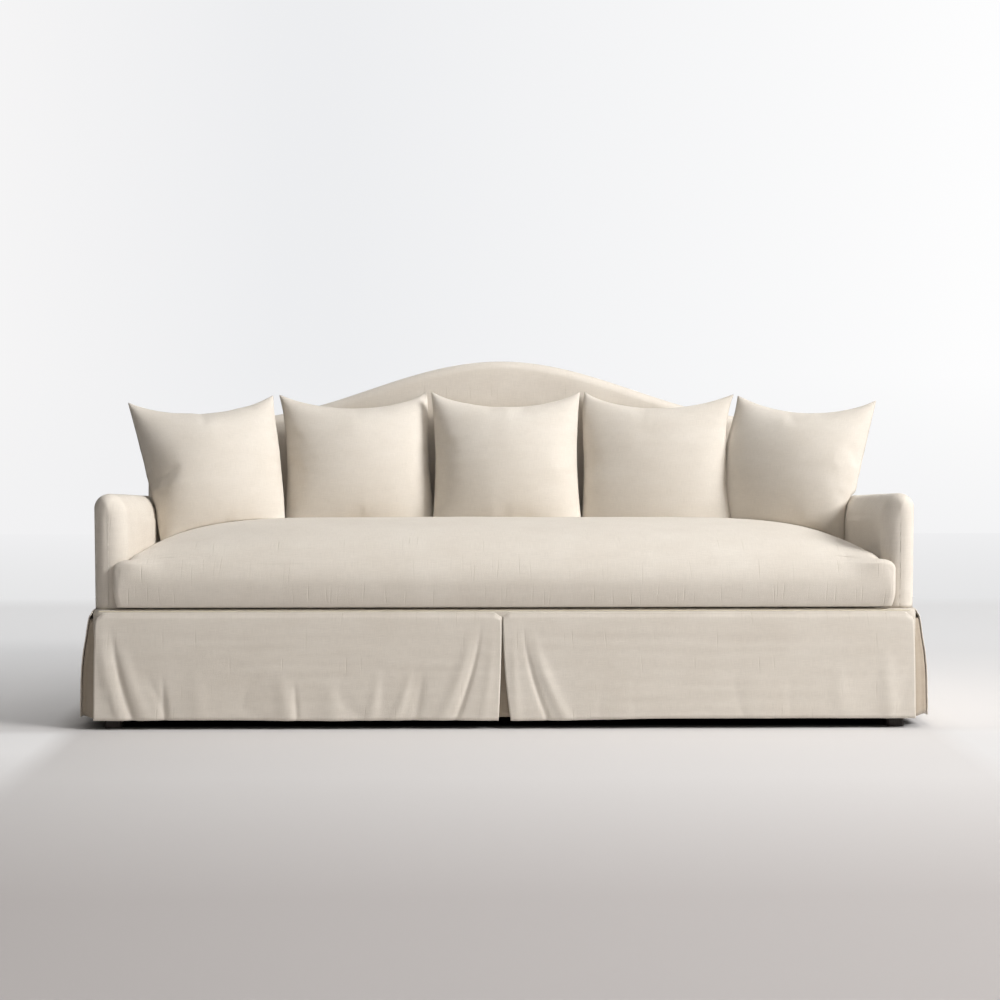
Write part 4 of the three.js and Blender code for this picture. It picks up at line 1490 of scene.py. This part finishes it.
@dataclass
class BenchCushion(Upholstery):
    """The bench cushion: crowned, with soft edges and small ears that lap the arms."""

    rows: int = 100
    front_rows: int = 20
    columns: int = 330
    layers: int = 18
    ear_width: float = 0.031
    ear_gap: float = 0.0015
    neck_inset: float = 0.001
    rear_crowding: float = 0.45
    corner_radius: float = 0.016
    top_round: float = 0.085
    top_fall: float = 0.0165
    top_lean: float = 0.024
    lean_run: float = 0.300
    ear_run: float = 0.026
    ear_start: float = 0.88
    ear_fade: float = 0.09
    ear_lean_loss: float = 0.75
    end_round: float = 0.034
    end_fall: float = 0.018
    spread: float = 0.090
    bottom_round: float = 0.045
    bottom_lift: float = 0.006
    bottom_lift_rate: float = 1.3
    bulge: float = 0.009
    bulge_power: float = 2.4
    bulge_run: float = 0.03
    boxing_pull: Ripple = Ripple(0.0007, (11.0, 1.0, 5.0), 2.0)
    boxing_wave: Ripple = Ripple(0.0006, (6.0, 0.0, 8.0), 3.0)
    edge_dip: Ripple = Ripple(0.0009, (9.0, 4.5, 3.0), 5.0)
    edge_dip_middle: float = 0.02
    edge_dip_width: float = 0.03
    broad_wave: Ripple = Ripple(0.0016, (2.6, 4.2, 0.0), 1.0)
    fine_wave: Ripple = Ripple(0.0004, (11.0, 16.0, 0.0), 4.0)
    wave_inset: float = 0.05
    calm_share: float = 0.6
    calm_start: float = 0.2
    calm_run: float = 0.8

    def row_at(self, share: float) -> float:
        """Y of a row, with many rows over the ears and the rest behind them.

        Args:
            share: The row's share of the count, from the front.

        Returns:
            Its place along the depth.
        """
        front, rear = SIZES.cushion_front, SIZES.deck_rear
        neck = SIZES.arm_front + self.neck_inset
        split = self.front_rows / self.rows
        if share <= split:
            return front + (neck - front) * share / split
        run = (share - split) / (1 - split)
        return neck + (rear - neck) * ((1 - self.rear_crowding) * run + self.rear_crowding * run * run)

    def half_at(self, y: float) -> float:
        """Half the cushion's width.

        Args:
            y: A place along the depth.

        Returns:
            The half width there: full over the ears, rounded at their front corners.
        """
        ear = SIZES.arm_inner + self.ear_width
        into = y - SIZES.cushion_front
        radius = self.corner_radius
        if into < radius:
            return ear - radius + math.sqrt(max(0.0, radius**2 - (radius - into) ** 2))
        if y < SIZES.arm_front - self.ear_gap:
            return ear
        return SIZES.arm_inner - SIZES.cushion_side_gap

    def place(self, u: float, v: float, w: float) -> Triple:
        """Moves a corner of the cube to the cushion's surface.

        Args:
            u: Its share across, from -1 to 1.
            v: Its share from the front to the rear.
            w: Its share from the bottom to the top.

        Returns:
            Its place.
        """
        y = self.row_at((v + 1) / 2)
        half = self.half_at(y)
        x = crowded(u) * half
        front, rear = SIZES.cushion_front, SIZES.deck_rear
        ends = half - abs(x)
        into = min(y - front, rear - y)
        edge = min(ends, into)
        lift = smooth(self.bottom_lift_rate * (1 - edge / self.bottom_round))
        low = SIZES.cushion_bottom + self.bottom_lift * lift
        past = clamp(1 - ends / self.end_round)
        wide = self.half_at(front + self.corner_radius)
        neck = SIZES.arm_inner - SIZES.cushion_side_gap
        reach = neck + (wide - neck) * smooth(1 - (y - SIZES.arm_front) / self.spread)
        high = SIZES.seat_top(x * neck / reach, y) - self.top_fall * clamp(1 - into / self.top_round) ** 2
        high -= self.end_fall * (1 - math.sqrt(1 - past * past))
        z = low + (high - low) * (w + 1) / 2
        draw = self.bulge * max(0.0, -w) ** self.bulge_power
        ear = smooth((abs(x) - self.ear_start) / self.ear_fade)
        run = self.lean_run + (self.ear_run - self.lean_run) * ear
        lean = self.top_lean * (1 - self.ear_lean_loss * ear) * max(0.0, w) ** 2
        y += draw * clamp(1 - (y - front) / self.bulge_run) ** 2
        y -= draw * 0.5 * clamp(1 - (rear - y) / self.bulge_run) ** 2
        y += lean * clamp(1 - into / run) ** 2 if y < 0 else 0.0
        x -= math.copysign(draw * clamp(1 - ends / self.bulge_run) ** 2, x)
        return self.crumple((x, y, z), v <= -1 + TINY, w, edge) if w > -1 + TINY else (x, y, z)

    def crumple(self, point: Triple, boxing: bool, w: float, edge: float) -> Triple:
        """Adds the short upright wrinkles of the boxing and the dents of the top.

        Args:
            point: A point of the surface.
            boxing: Whether it's on the front boxing.
            w: Its share from the bottom to the top, from -1 to 1.
            edge: How far it lies from the nearest edge of the top.

        Returns:
            Its new place.
        """
        x, y, z = point
        left = self.calm_share + (1 - self.calm_share) * smooth((self.calm_start - x) / self.calm_run)
        if boxing:
            pull = self.boxing_pull.fold(x, 1.0, z) * smooth((w + 1.1) / 0.9) * smooth((1.02 - w) * 4)
            y += (pull + self.boxing_wave.wave(x, 0.0, z)) * left
        dip = self.edge_dip.fold(x, y, 1.0) * bell(edge - self.edge_dip_middle, self.edge_dip_width) * left
        rise = self.broad_wave.wave(x, y, 0.0) + self.fine_wave.wave(x, y, 0.0)
        rise *= smooth(edge / self.wave_inset)
        return x, y, z - dip * smooth((w + 0.6) / 1.6) + rise * smooth((w - 0.4) / 0.6)

    def build(self) -> None:
        """Builds the cushion."""
        piece = shaped_block("bench_cushion", (self.columns, self.rows, self.layers), self.place)
        self.dress(piece, "seat_cushion", body="cushion")


@dataclass(frozen=True)
class PillowSpot:
    """Where one pillow stands, how it's turned and how soft its form is."""

    node: str
    across: float
    ahead: float
    rise: float
    yaw: float
    lean: float
    roll: float
    seed: float
    squeeze: float
    side_left: float
    side_right: float
    foot_left: float
    foot_right: float
    ear_left: float
    ear_right: float


@dataclass
class LoosePillows(Upholstery):
    """Five loose knife-edge pillows, blown up from flat covers and leaned on the back."""

    half_size: float = 0.226
    half_thickness: float = 0.094
    front_share: float = 1.22
    flat_half: float = 0.260
    cells: int = 46
    flat_rise: Pair = (0.004, 0.030)
    sway: float = 0.0015
    sway_scale: float = 12.0
    rest_gap: float = 0.0008
    foot_draw: float = 0.065
    foot_power: float = 1.5
    top_draw: float = 0.19
    ear_rise: float = 0.010
    ear_power: int = 5
    dome_share: float = 0.86
    dome_power: float = 0.58
    even_share: float = 0.78
    frames: int = 26
    solver_steps: int = 6
    cover_mass: float = 0.3
    stretch_stiffness: float = 60.0
    shear_stiffness: float = 25.0
    bending_stiffness: float = 3.0
    damping: float = 25.0
    pressure: float = 6.0
    spots: tuple[PillowSpot, ...] = (
        PillowSpot("pillow_far_left", -0.8545, 0.957, 0.857, 21, 21, -3, 1.0, 0.946,
                   0.065, -0.02, 0.19, 0.115, 0.0, 0.010),
        PillowSpot("pillow_left", -0.430, 0.266, 0.901, 9, 16, -1, 2.0, 1.0,
                   0.065, 0.065, -0.065, 0.0, 0.008, -0.010),
        PillowSpot("pillow_middle", 0.013, 0.346, 0.915, 0, 15, 0, 3.0, 1.0,
                   0.065, 0.065, -0.005, -0.03, 0.0, 0.0),
        PillowSpot("pillow_right", 0.453, 0.346, 0.906, -8, 16, 1, 4.0, 1.0,
                   0.065, 0.055, 0.09, -0.13, -0.016, 0.018),
        PillowSpot("pillow_far_right", 0.8890, 0.700, 0.850, -23, 18, 2, 5.0, 0.894,
                   -0.19, 0.065, 0.10, 0.215, 0.018, 0.0),
    )

    def flat_cover(self, spot: PillowSpot) -> bpy.types.Object:
        """Two flat square panels sewn along their edges.

        Args:
            spot: The pillow.

        Returns:
            The flat cover, ready to be filled.
        """
        bm = bmesh.new()
        bmesh.ops.create_grid(bm, x_segments=self.cells, y_segments=self.cells, size=self.flat_half)
        edge_rise, middle_rise = self.flat_rise
        for vert in bm.verts:
            fullness = (1 - (vert.co.x / self.flat_half) ** 2) * (1 - (vert.co.y / self.flat_half) ** 2)
            vert.co = (vert.co.x, -edge_rise - middle_rise * fullness, vert.co.y)
        copy = bmesh.ops.duplicate(bm, geom=bm.verts[:] + bm.edges[:] + bm.faces[:])
        twins = [item for item in copy["geom"] if isinstance(item, bmesh.types.BMVert)]
        for vert in twins:
            vert.co.y = -vert.co.y
        rim = self.flat_half - 10 * TINY
        for vert in bm.verts:
            if max(abs(vert.co.x), abs(vert.co.z)) > rim:
                vert.co.y = 0.0
        bmesh.ops.remove_doubles(bm, verts=bm.verts, dist=TINY)
        bmesh.ops.recalc_face_normals(bm, faces=bm.faces)
        paint_map(bm, lambda loop: (loop.vert.co.x, loop.vert.co.z))
        scale = self.sway_scale
        for vert in bm.verts:
            if max(abs(vert.co.x), abs(vert.co.z)) < rim:
                x, y, z = vert.co
                vert.co.y += self.sway * drift(x * scale, y * scale, z * scale, spot.seed)
        return finish_mesh(bm, spot.node.replace("pillow", "loose_pillow"))

    def fill(self, pieces: list[bpy.types.Object]) -> None:
        """Fills the covers with pressure, and keeps the result in their meshes.

        Args:
            pieces: The flat covers.
        """
        for piece in pieces:
            modifier = piece.modifiers.new("Filling", "CLOTH")
            cloth = modifier.settings
            cloth.quality = self.solver_steps
            cloth.mass = self.cover_mass
            for name in ("tension", "compression"):
                setattr(cloth, f"{name}_stiffness", self.stretch_stiffness)
            cloth.shear_stiffness = self.shear_stiffness
            cloth.bending_stiffness = self.bending_stiffness
            for name in ("tension", "compression", "shear"):
                setattr(cloth, f"{name}_damping", self.damping)
            cloth.use_pressure = True
            cloth.uniform_pressure_force = self.pressure
            cloth.effector_weights.gravity = 0.0
            modifier.point_cache.frame_start = 1
            modifier.point_cache.frame_end = self.frames
        scene = bpy.context.scene
        for moment in range(1, self.frames + 1):
            scene.frame_set(moment)
        graph = bpy.context.evaluated_depsgraph_get()
        for piece in pieces:
            mesh = bpy.data.meshes.new_from_object(piece.evaluated_get(graph))
            piece.modifiers.clear()
            piece.data = mesh
            mesh.name = piece.name
        scene.frame_set(1)

    def outline(self, a: float, b: float, spot: PillowSpot) -> Pair:
        """Where a point of the seam belongs.

        Args:
            a: Its place across the flat cover, from -1 to 1.
            b: Its place up the flat cover, from -1 to 1.
            spot: The pillow.

        Returns:
            Its place across and up the filled pillow.
        """
        side = spot.side_right if a > 0 else spot.side_left
        foot = spot.foot_right if a > 0 else spot.foot_left
        ear = spot.ear_right if a > 0 else -spot.ear_left
        drawn = side * (1 - b * b) + foot * ((1 - b) / 2) ** self.foot_power
        sag = self.top_draw if b > 0 else self.foot_draw
        tip = abs(a) ** self.ear_power * max(0.0, b) ** self.ear_power
        x = a * self.half_size * spot.squeeze * (1 - drawn) + ear * tip
        return x, b * self.half_size * (1 - sag * (1 - a * a)) + self.ear_rise * tip

    def squared(
        self, piece: bpy.types.Object, flats: list[tuple[float, float, int]], spot: PillowSpot
    ) -> None:
        """Draws a filled pillow's seam to its outline and carries the cloth inside it along.

        Args:
            piece: The filled pillow.
            flats: Each corner's place on the flat cover, from -1 to 1 both ways, and which face it's on.
            spot: The pillow.
        """
        count = self.cells
        places = [(round((a + 1) / 2 * count), round((b + 1) / 2 * count)) for a, b, _ in flats]
        shift = {}
        for vert, (i, j), (a, b, _) in zip(piece.data.vertices, places, flats):
            if i in (0, count) or j in (0, count):
                x, z = self.outline(a, b, spot)
                shift[(i, j)] = Vector((x - vert.co.x, 0.0, z - vert.co.z))
        for vert, (i, j), (a, b, _) in zip(piece.data.vertices, places, flats):
            right, up = (a + 1) / 2, (b + 1) / 2
            sides = shift[(0, j)] * (1 - right) + shift[(count, j)] * right
            ends = shift[(i, 0)] * (1 - up) + shift[(i, count)] * up
            low = shift[(0, 0)] * (1 - right) + shift[(count, 0)] * right
            high = shift[(0, count)] * (1 - right) + shift[(count, count)] * right
            vert.co += sides + ends - low * (1 - up) - high * up
            x, z = self.outline(a, b, spot)
            vert.co += Vector((x - vert.co.x, 0.0, z - vert.co.z)) * self.even_share

    def lean(
        self, piece: bpy.types.Object, flats: list[tuple[float, float, int]], spot: PillowSpot
    ) -> None:
        """Rounds a filled pillow, stands it in its place and rests it on seat and back.

        Args:
            piece: The filled pillow.
            flats: Each corner's place on the flat cover, and which face it's on.
            spot: The pillow.
        """
        verts = piece.data.vertices
        belly = max(abs(v.co.y) for v in verts)
        turn = (Matrix.Rotation(math.radians(spot.yaw), 4, "Z")
                @ Matrix.Rotation(-math.radians(spot.lean), 4, "X")
                @ Matrix.Rotation(math.radians(spot.roll), 4, "Y"))
        middle = Vector((spot.across * SIZES.arm_inner, SIZES.back_deck_front - spot.ahead * self.half_size,
                         SIZES.cushion_edge + spot.rise * self.half_size))
        for vert, (a, b, face) in zip(verts, flats):
            dome = face * (max(0.0, 1 - a * a) * max(0.0, 1 - b * b)) ** self.dome_power
            full = dome * self.dome_share + vert.co.y / belly * (1 - self.dome_share)
            depth = self.half_thickness * (self.front_share if full < 0 else 1.0)
            local = Vector((vert.co.x, full * depth, vert.co.z))
            vert.co = self.settled(turn @ local + middle)

    def settled(self, point: Vector) -> Vector:
        """Keeps a point above the seat, inside the arms and in front of the back.

        Args:
            point: The point.

        Returns:
            The nearest free place.
        """
        z = max(point.z, SIZES.seat_top(point.x, point.y) + self.rest_gap)
        roll = ArmCovers.inner_roll_drop
        rise = (z - SIZES.arm_top(point.y) + roll) / roll
        x = point.x
        if rise < 1:
            bend = ArmCovers.inner_roll_width * (1 - math.sqrt(1 - max(0.0, rise) ** 2))
            x = math.copysign(min(abs(x), SIZES.arm_inner + bend - self.rest_gap), x)
        rear = SIZES.back_front(z) - BackCover.bow_at(x, z) - self.rest_gap
        return Vector((x, min(point.y, rear), z))

    def build(self) -> None:
        """Builds the five pillows."""
        pieces = [self.flat_cover(spot) for spot in self.spots]
        half = self.flat_half
        flats = [
            (v.co.x / half, v.co.z / half, round(math.copysign(1, v.co.y)) if v.co.y else 0)
            for v in pieces[0].data.vertices
        ]
        self.fill(pieces)
        for piece, spot in zip(pieces, self.spots):
            self.squared(piece, flats, spot)
            self.lean(piece, flats, spot)
            round_off(piece)
            self.dress(piece, spot.node, body=spot.node)


@dataclass
class DeckAndDust(Upholstery):
    """The deck cloth under the cushion and the dust cover under the frame."""

    dust: bpy.types.Material | None = None
    deck_cells: tuple[int, int] = (80, 90)
    deck_thickness: float = 0.0018
    nose: float = 0.006
    nose_ease: float = 0.3
    lap: float = 0.03
    dust_cells: tuple[int, int] = (60, 30)
    dust_thickness: float = 0.0008
    dust_sag: float = 0.006

    def build_deck(self) -> None:
        """Builds the cloth over the deck and down the front rail."""
        low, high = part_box("deck_cloth")
        drop = high.z - low.z
        length = SIZES.deck_rear - low.y + drop
        half_cloth = self.deck_thickness / 2

        def rule(u: float, w: float) -> Vector:
            """Moves a corner of the grid to the cloth.

            Args:
                u: Its share across, from -1 to 1.
                w: Its share from the rear to the foot of the rail.

            Returns:
                Its place.
            """
            run = length * (1 - w) / 2
            into = max(0.0, run - drop)
            wide = SIZES.half_width - SIZES.skirt_thickness
            half = wide if into < self.lap else SIZES.arm_inner - SIZES.cushion_side_gap
            bend = self.nose * bell(run - drop, self.nose) * self.nose_ease
            return Vector((u * half, low.y + into + half_cloth + bend,
                           low.z + min(run, drop) - half_cloth - bend))

        piece = hanging_sheet("deck_cover", self.deck_cells, rule,
                              lambda u, w: (SIZES.half_width * u, length * (1 - w) / 2), self.deck_thickness)
        self.dress(piece, "deck_cloth")

    def build_dust_cover(self) -> None:
        """Builds the dust cover, which sags a little between its staples."""
        low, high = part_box("dust_cover")
        middle = (low + high) / 2
        half = (high - low) / 2

        def rule(u: float, w: float) -> Vector:
            """Moves a corner of the grid to the cloth."""
            sag = self.dust_sag * (1 - u**4) * (1 - w**4)
            return middle + Vector((half.x * u, half.y * w, -sag))

        piece = hanging_sheet("dust_sheet", self.dust_cells, rule,
                              lambda u, w: (u * high.x, w * high.y), self.dust_thickness)
        self.dress(piece, "dust_cover", cloth=self.dust, slot="dust_cloth")

    def build(self) -> None:
        """Builds both cloths."""
        self.build_deck()
        self.build_dust_cover()


@dataclass
class FrameTimber:
    """The frame, feet, springs and padding, which keep their CAD shapes."""

    early: Triple = (0.56, 0.37, 0.19)
    late: Triple = (0.38, 0.22, 0.10)
    roughness: float = 0.72

    def build(self) -> None:
        """Gives every kept CAD node its material."""
        sawn = {
            axis: TimberFinish(
                f"Sawn hardwood along {axis.name}", self.early, self.late, self.roughness, axis).material()
            for axis in Axis
        }
        named = {
            "foot_": FOOT_STAIN_AND_SHADE.material(),
            "seat_spring": SteelFinish().material(),
            "_pad": FoamFinish().material(),
            "spring_burlap": BURLAP.material(),
        }
        for name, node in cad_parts.items():
            low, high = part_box(name)
            longest = max(Axis, key=lambda axis: high[axis.value] - low[axis.value])
            material = next((finish for word, finish in named.items() if word in name), sawn[longest])
            node.data.materials.clear()
            node.data.materials.append(material)
        LOG.info("%d CAD nodes finished", len(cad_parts))


@dataclass(frozen=True)
class Lamp:
    """A soft rectangular lamp: where it hangs, what it points at, its size, its watts and its colour."""

    name: str
    place: Triple
    aim: Triple
    size: Pair
    power: float
    colour: Triple

    def build(self) -> None:
        """Builds the lamp."""
        data = bpy.data.lights.new(self.name, "AREA")
        data.shape = "RECTANGLE"
        data.size, data.size_y = self.size
        data.energy = self.power
        data.color = self.colour
        lamp = bpy.data.objects.new(self.name, data)
        lamp.location = self.place
        lamp.rotation_euler = (Vector(self.aim) - Vector(self.place)).to_track_quat("-Z", "Y").to_euler()
        bpy.context.scene.collection.objects.link(lamp)


@dataclass
class Studio:
    """Pale floor and backdrop, soft lamps and the camera at the photograph's angle."""

    camera_place: Triple = (-0.0809, -4.957, 0.859)
    pitch_down: float = 3.376
    yaw_right: float = 0.841
    lens: float = 62.95
    sensor: float = 36.0
    far_clip: float = 60.0
    stage_half: float = 14.0
    backdrop_y: float = 6.0
    front_shade_along: Pair = (-2.0, -1.05)
    painted_shadow_beside: Pair = (1.09, 1.03)
    painted_shadow_along: Pair = (0.475, 0.42)
    far_glow_along: Pair = (2.2, 6.0)
    front_glow_along: Pair = (0.9, -0.2)
    shadow_glow_beside: Pair = (1.10, 1.20)
    shadow_glow_past: Pair = (0.55, 1.15)
    shadow_glow_along: Pair = (-0.45, 1.25)
    shadow_glow_shares: Pair = (0.18, 0.78)
    front_shadow_glow_beside: Pair = (1.08, 1.16)
    front_shadow_glow_share: float = 0.50
    front_shadow_glow_along: Pair = (-1.45, -0.75)
    front_line: Pair = (-0.53, -0.47)
    plain_behind: Pair = (1.0, 2.5)
    plain_around: Pair = (3.4, 6.5)
    floor_colour: Triple = (0.71, 0.69, 0.68)
    floor_front_shade_colour: Triple = (0.54, 0.51, 0.50)
    floor_painted_shadow_colour: Triple = (0.02, 0.02, 0.02)
    floor_glow: Triple = (0.785, 0.785, 0.790)
    floor_far_glow: Triple = (0.870, 0.870, 0.880)
    floor_front_glow: Triple = (0.900, 0.890, 0.885)
    backdrop_right: Pair = (-0.9, 3.1)
    backdrop_left: Pair = (-1.3, -3.1)
    backdrop_foot_share: float = 0.25
    backdrop_colour: Triple = (0.7, 0.7, 0.7)
    backdrop_glow: Triple = (0.850, 0.856, 0.872)
    backdrop_right_glow: Triple = (0.985, 0.985, 0.988)
    backdrop_left_glow: Triple = (0.915, 0.910, 0.915)
    backdrop_low_glow: Triple = (0.875, 0.875, 0.885)
    ambient_colour: Triple = (1.0, 0.97, 0.93)
    ambient_strength: float = 0.13
    sky_colour: Triple = (0.89, 0.89, 0.91)
    lamps: tuple[Lamp, ...] = (
        Lamp("Key lamp", (7.1, -3.4, 5.15), (0.0, 0.0, 0.5), (3.0, 3.0), 850.0, (1.0, 0.995, 0.99)),
        Lamp("Front fill", (-0.6, -6.2, 2.6), (0.0, 0.0, 0.5), (3.2, 2.0), 18.0, (1.0, 0.96, 0.92)),
        Lamp("Overhead", (0.6, -0.4, 3.6), (0.0, -0.2, 0.3), (3.4, 1.8), 35.0, (1.0, 1.0, 1.0)),
    )

    def build_camera(self) -> None:
        """Makes the camera."""
        data = bpy.data.cameras.new("Studio camera")
        data.lens = self.lens
        data.sensor_width = self.sensor
        data.clip_end = self.far_clip
        camera = bpy.data.objects.new("Studio camera", data)
        camera.location = self.camera_place
        tilt, yaw = math.radians(90 - self.pitch_down), -math.radians(self.yaw_right)
        camera.rotation_euler = Euler((tilt, 0.0, yaw))
        bpy.context.scene.collection.objects.link(camera)
        bpy.context.scene.camera = camera

    def plane(self, name: str, turn: Triple, place: Triple, material: bpy.types.Material) -> None:
        """Adds a plain stage plane.

        Args:
            name: The plane's name.
            turn: How it's turned, in radians.
            place: Its middle.
            material: What it's made of.
        """
        bm = bmesh.new()
        bmesh.ops.create_grid(bm, x_segments=1, y_segments=1, size=self.stage_half)
        bmesh.ops.rotate(bm, verts=bm.verts, matrix=Euler(turn).to_matrix())
        bmesh.ops.translate(bm, verts=bm.verts, vec=place)
        piece = finish_mesh(bm, name)
        piece.data.materials.append(material)

    def cover(
        self, material: bpy.types.Material, sheet: NodeSheet, shader: bpy.types.Node, colour: object,
        share: object,
    ) -> None:
        """Covers a lit surface with an even glow.

        Args:
            material: The surface's material.
            sheet: Its node sheet.
            shader: Its lit shader.
            colour: The glow's colour.
            share: How much of the surface it hides.
        """
        bright = sheet.fill(sheet.add("ShaderNodeEmission"), Color=colour)
        output = next(node for node in material.node_tree.nodes if node.type == "OUTPUT_MATERIAL")
        sheet.fill(output, Surface=sheet.blend(share, shader, bright))

    def floor_material(self) -> bpy.types.Material:
        """Pale floor, painted darker towards the camera and near black under the sofa as painted shade, with
        a glow seen only by the camera that lightens the sofa's cast shadow and fades the floor to plain
        colour around and behind the sofa.

        Returns:
            The material.
        """
        material, sheet, shader = new_material("Pale floor")
        place = sheet.add("ShaderNodeTexCoord").outputs["Object"]
        x, y, _ = sheet.parts(place)
        beside, deep = sheet.size(x), sheet.size(y)
        # The floor is painted darker towards the camera: painted shade for the light that falls off there.
        plain = sheet.tint(sheet.ramp(y, *self.front_shade_along), self.floor_front_shade_colour, self.floor_colour)
        # Near black under the sofa: a painted shadow where the sofa covers the floor.
        painted_shadow_share = sheet.times(sheet.ramp(beside, *self.painted_shadow_beside), sheet.ramp(deep, *self.painted_shadow_along))
        sheet.fill(shader, Base_Color=sheet.tint(painted_shadow_share, plain, self.floor_painted_shadow_colour), Roughness=0.9,
                   Specular_IOR_Level=0.1)
        glow = sheet.tint(sheet.ramp(y, *self.far_glow_along), self.floor_glow, self.floor_far_glow)
        glow = sheet.tint(sheet.ramp(y, *self.front_glow_along), glow, self.floor_front_glow)
        # A glow seen only by the camera lightens the sofa's cast shadow beside, in front of and behind it:
        # painted light.
        past = sheet.highest(sheet.ramp(beside, *self.shadow_glow_beside), sheet.ramp(y, *self.shadow_glow_past))
        beyond = sheet.times(past, sheet.remap(y, *self.shadow_glow_along, *self.shadow_glow_shares))
        before = sheet.times(sheet.remap(beside, *self.front_shadow_glow_beside, 0.0, self.front_shadow_glow_share),
                             sheet.ramp(y, *self.front_shadow_glow_along))
        rear = sheet.ramp(y, *self.front_line)
        clear = sheet.plus(sheet.times(beyond, rear), sheet.times(before, sheet.minus(1.0, rear)))
        away = sheet.fill(sheet.add("ShaderNodeVectorMath", operation="LENGTH"), Vector=place)
        around = sheet.ramp(away.outputs["Value"], *self.plain_around)
        hidden = sheet.highest(sheet.highest(sheet.ramp(y, *self.plain_behind), clear), around)
        seen = sheet.add("ShaderNodeLightPath").outputs["Is Camera Ray"]
        self.cover(material, sheet, shader, glow, sheet.times(hidden, seen))
        return material

    def backdrop_material(self) -> bpy.types.Material:
        """Pale backdrop, brightest on the right and a little darker towards the floor.

        Returns:
            The material.
        """
        material, sheet, shader = new_material("Pale backdrop")
        x, _, z = sheet.parts(sheet.add("ShaderNodeTexCoord").outputs["Object"])
        glow = sheet.tint(sheet.ramp(x, *self.backdrop_right), self.backdrop_glow, self.backdrop_right_glow)
        glow = sheet.tint(sheet.ramp(x, *self.backdrop_left), glow, self.backdrop_left_glow)
        rise = sheet.remap(z, 0.0, 1.0, self.backdrop_foot_share, 1.0)
        glow = sheet.tint(rise, self.backdrop_low_glow, glow)
        sheet.fill(shader, Base_Color=(*self.backdrop_colour, 1.0), Roughness=0.95)
        rays = sheet.add("ShaderNodeLightPath").outputs
        seen = sheet.plus(rays["Is Camera Ray"], rays["Is Glossy Ray"])
        seen = sheet.plus(seen, rays["Is Transmission Ray"])
        self.cover(material, sheet, shader, glow, sheet.math("MINIMUM", seen, 1.0))
        return material

    def build_world(self) -> None:
        """Gives a weak even light, and the backdrop's colour to the camera."""
        world = bpy.data.worlds.new("Studio")
        bpy.context.scene.world = world
        world.use_nodes = True
        world.node_tree.nodes.clear()
        sheet = NodeSheet(world.node_tree)
        ambient = sheet.fill(sheet.add("ShaderNodeBackground"), Color=(*self.ambient_colour, 1.0),
                             Strength=self.ambient_strength)
        shown = sheet.fill(sheet.add("ShaderNodeBackground"), Color=(*self.sky_colour, 1.0))
        path = sheet.add("ShaderNodeLightPath")
        mixed = sheet.blend(path.outputs["Is Camera Ray"], ambient, shown)
        sheet.fill(sheet.add("ShaderNodeOutputWorld"), Surface=mixed)

    def build(self) -> None:
        """Builds the stage, the lamps and the camera."""
        self.build_camera()
        self.plane("studio_floor", (0.0, 0.0, 0.0), (0.0, 0.0, 0.0), self.floor_material())
        self.plane("studio_backdrop", (math.pi / 2, 0.0, 0.0), (0.0, self.backdrop_y, 0.0),
                   self.backdrop_material())
        for lamp in self.lamps:
            lamp.build()
        self.build_world()
        bpy.context.scene.view_settings.view_transform = "Standard"


def main() -> None:
    """Builds the sofa's looks in order."""
    logging.basicConfig(level=logging.INFO, format="%(name)s: %(message)s")
    EFFECTS.build()
    Studio().build()
    linen = LINEN.material()
    FrameTimber().build()
    ArmCovers(linen).build()
    BackCover(linen).build()
    Skirt(linen, lining=PLEAT_SHADE_LINING.material()).build()
    BenchCushion(SEAT_LINEN.material()).build()
    LoosePillows(PILLOW_LINEN.material(), slot="pillow_linen").build()
    DeckAndDust(DECK_CLOTH.material(), slot="deck_cloth", dust=DUST_CLOTH.material()).build()


if __name__ == "__main__":
    main()
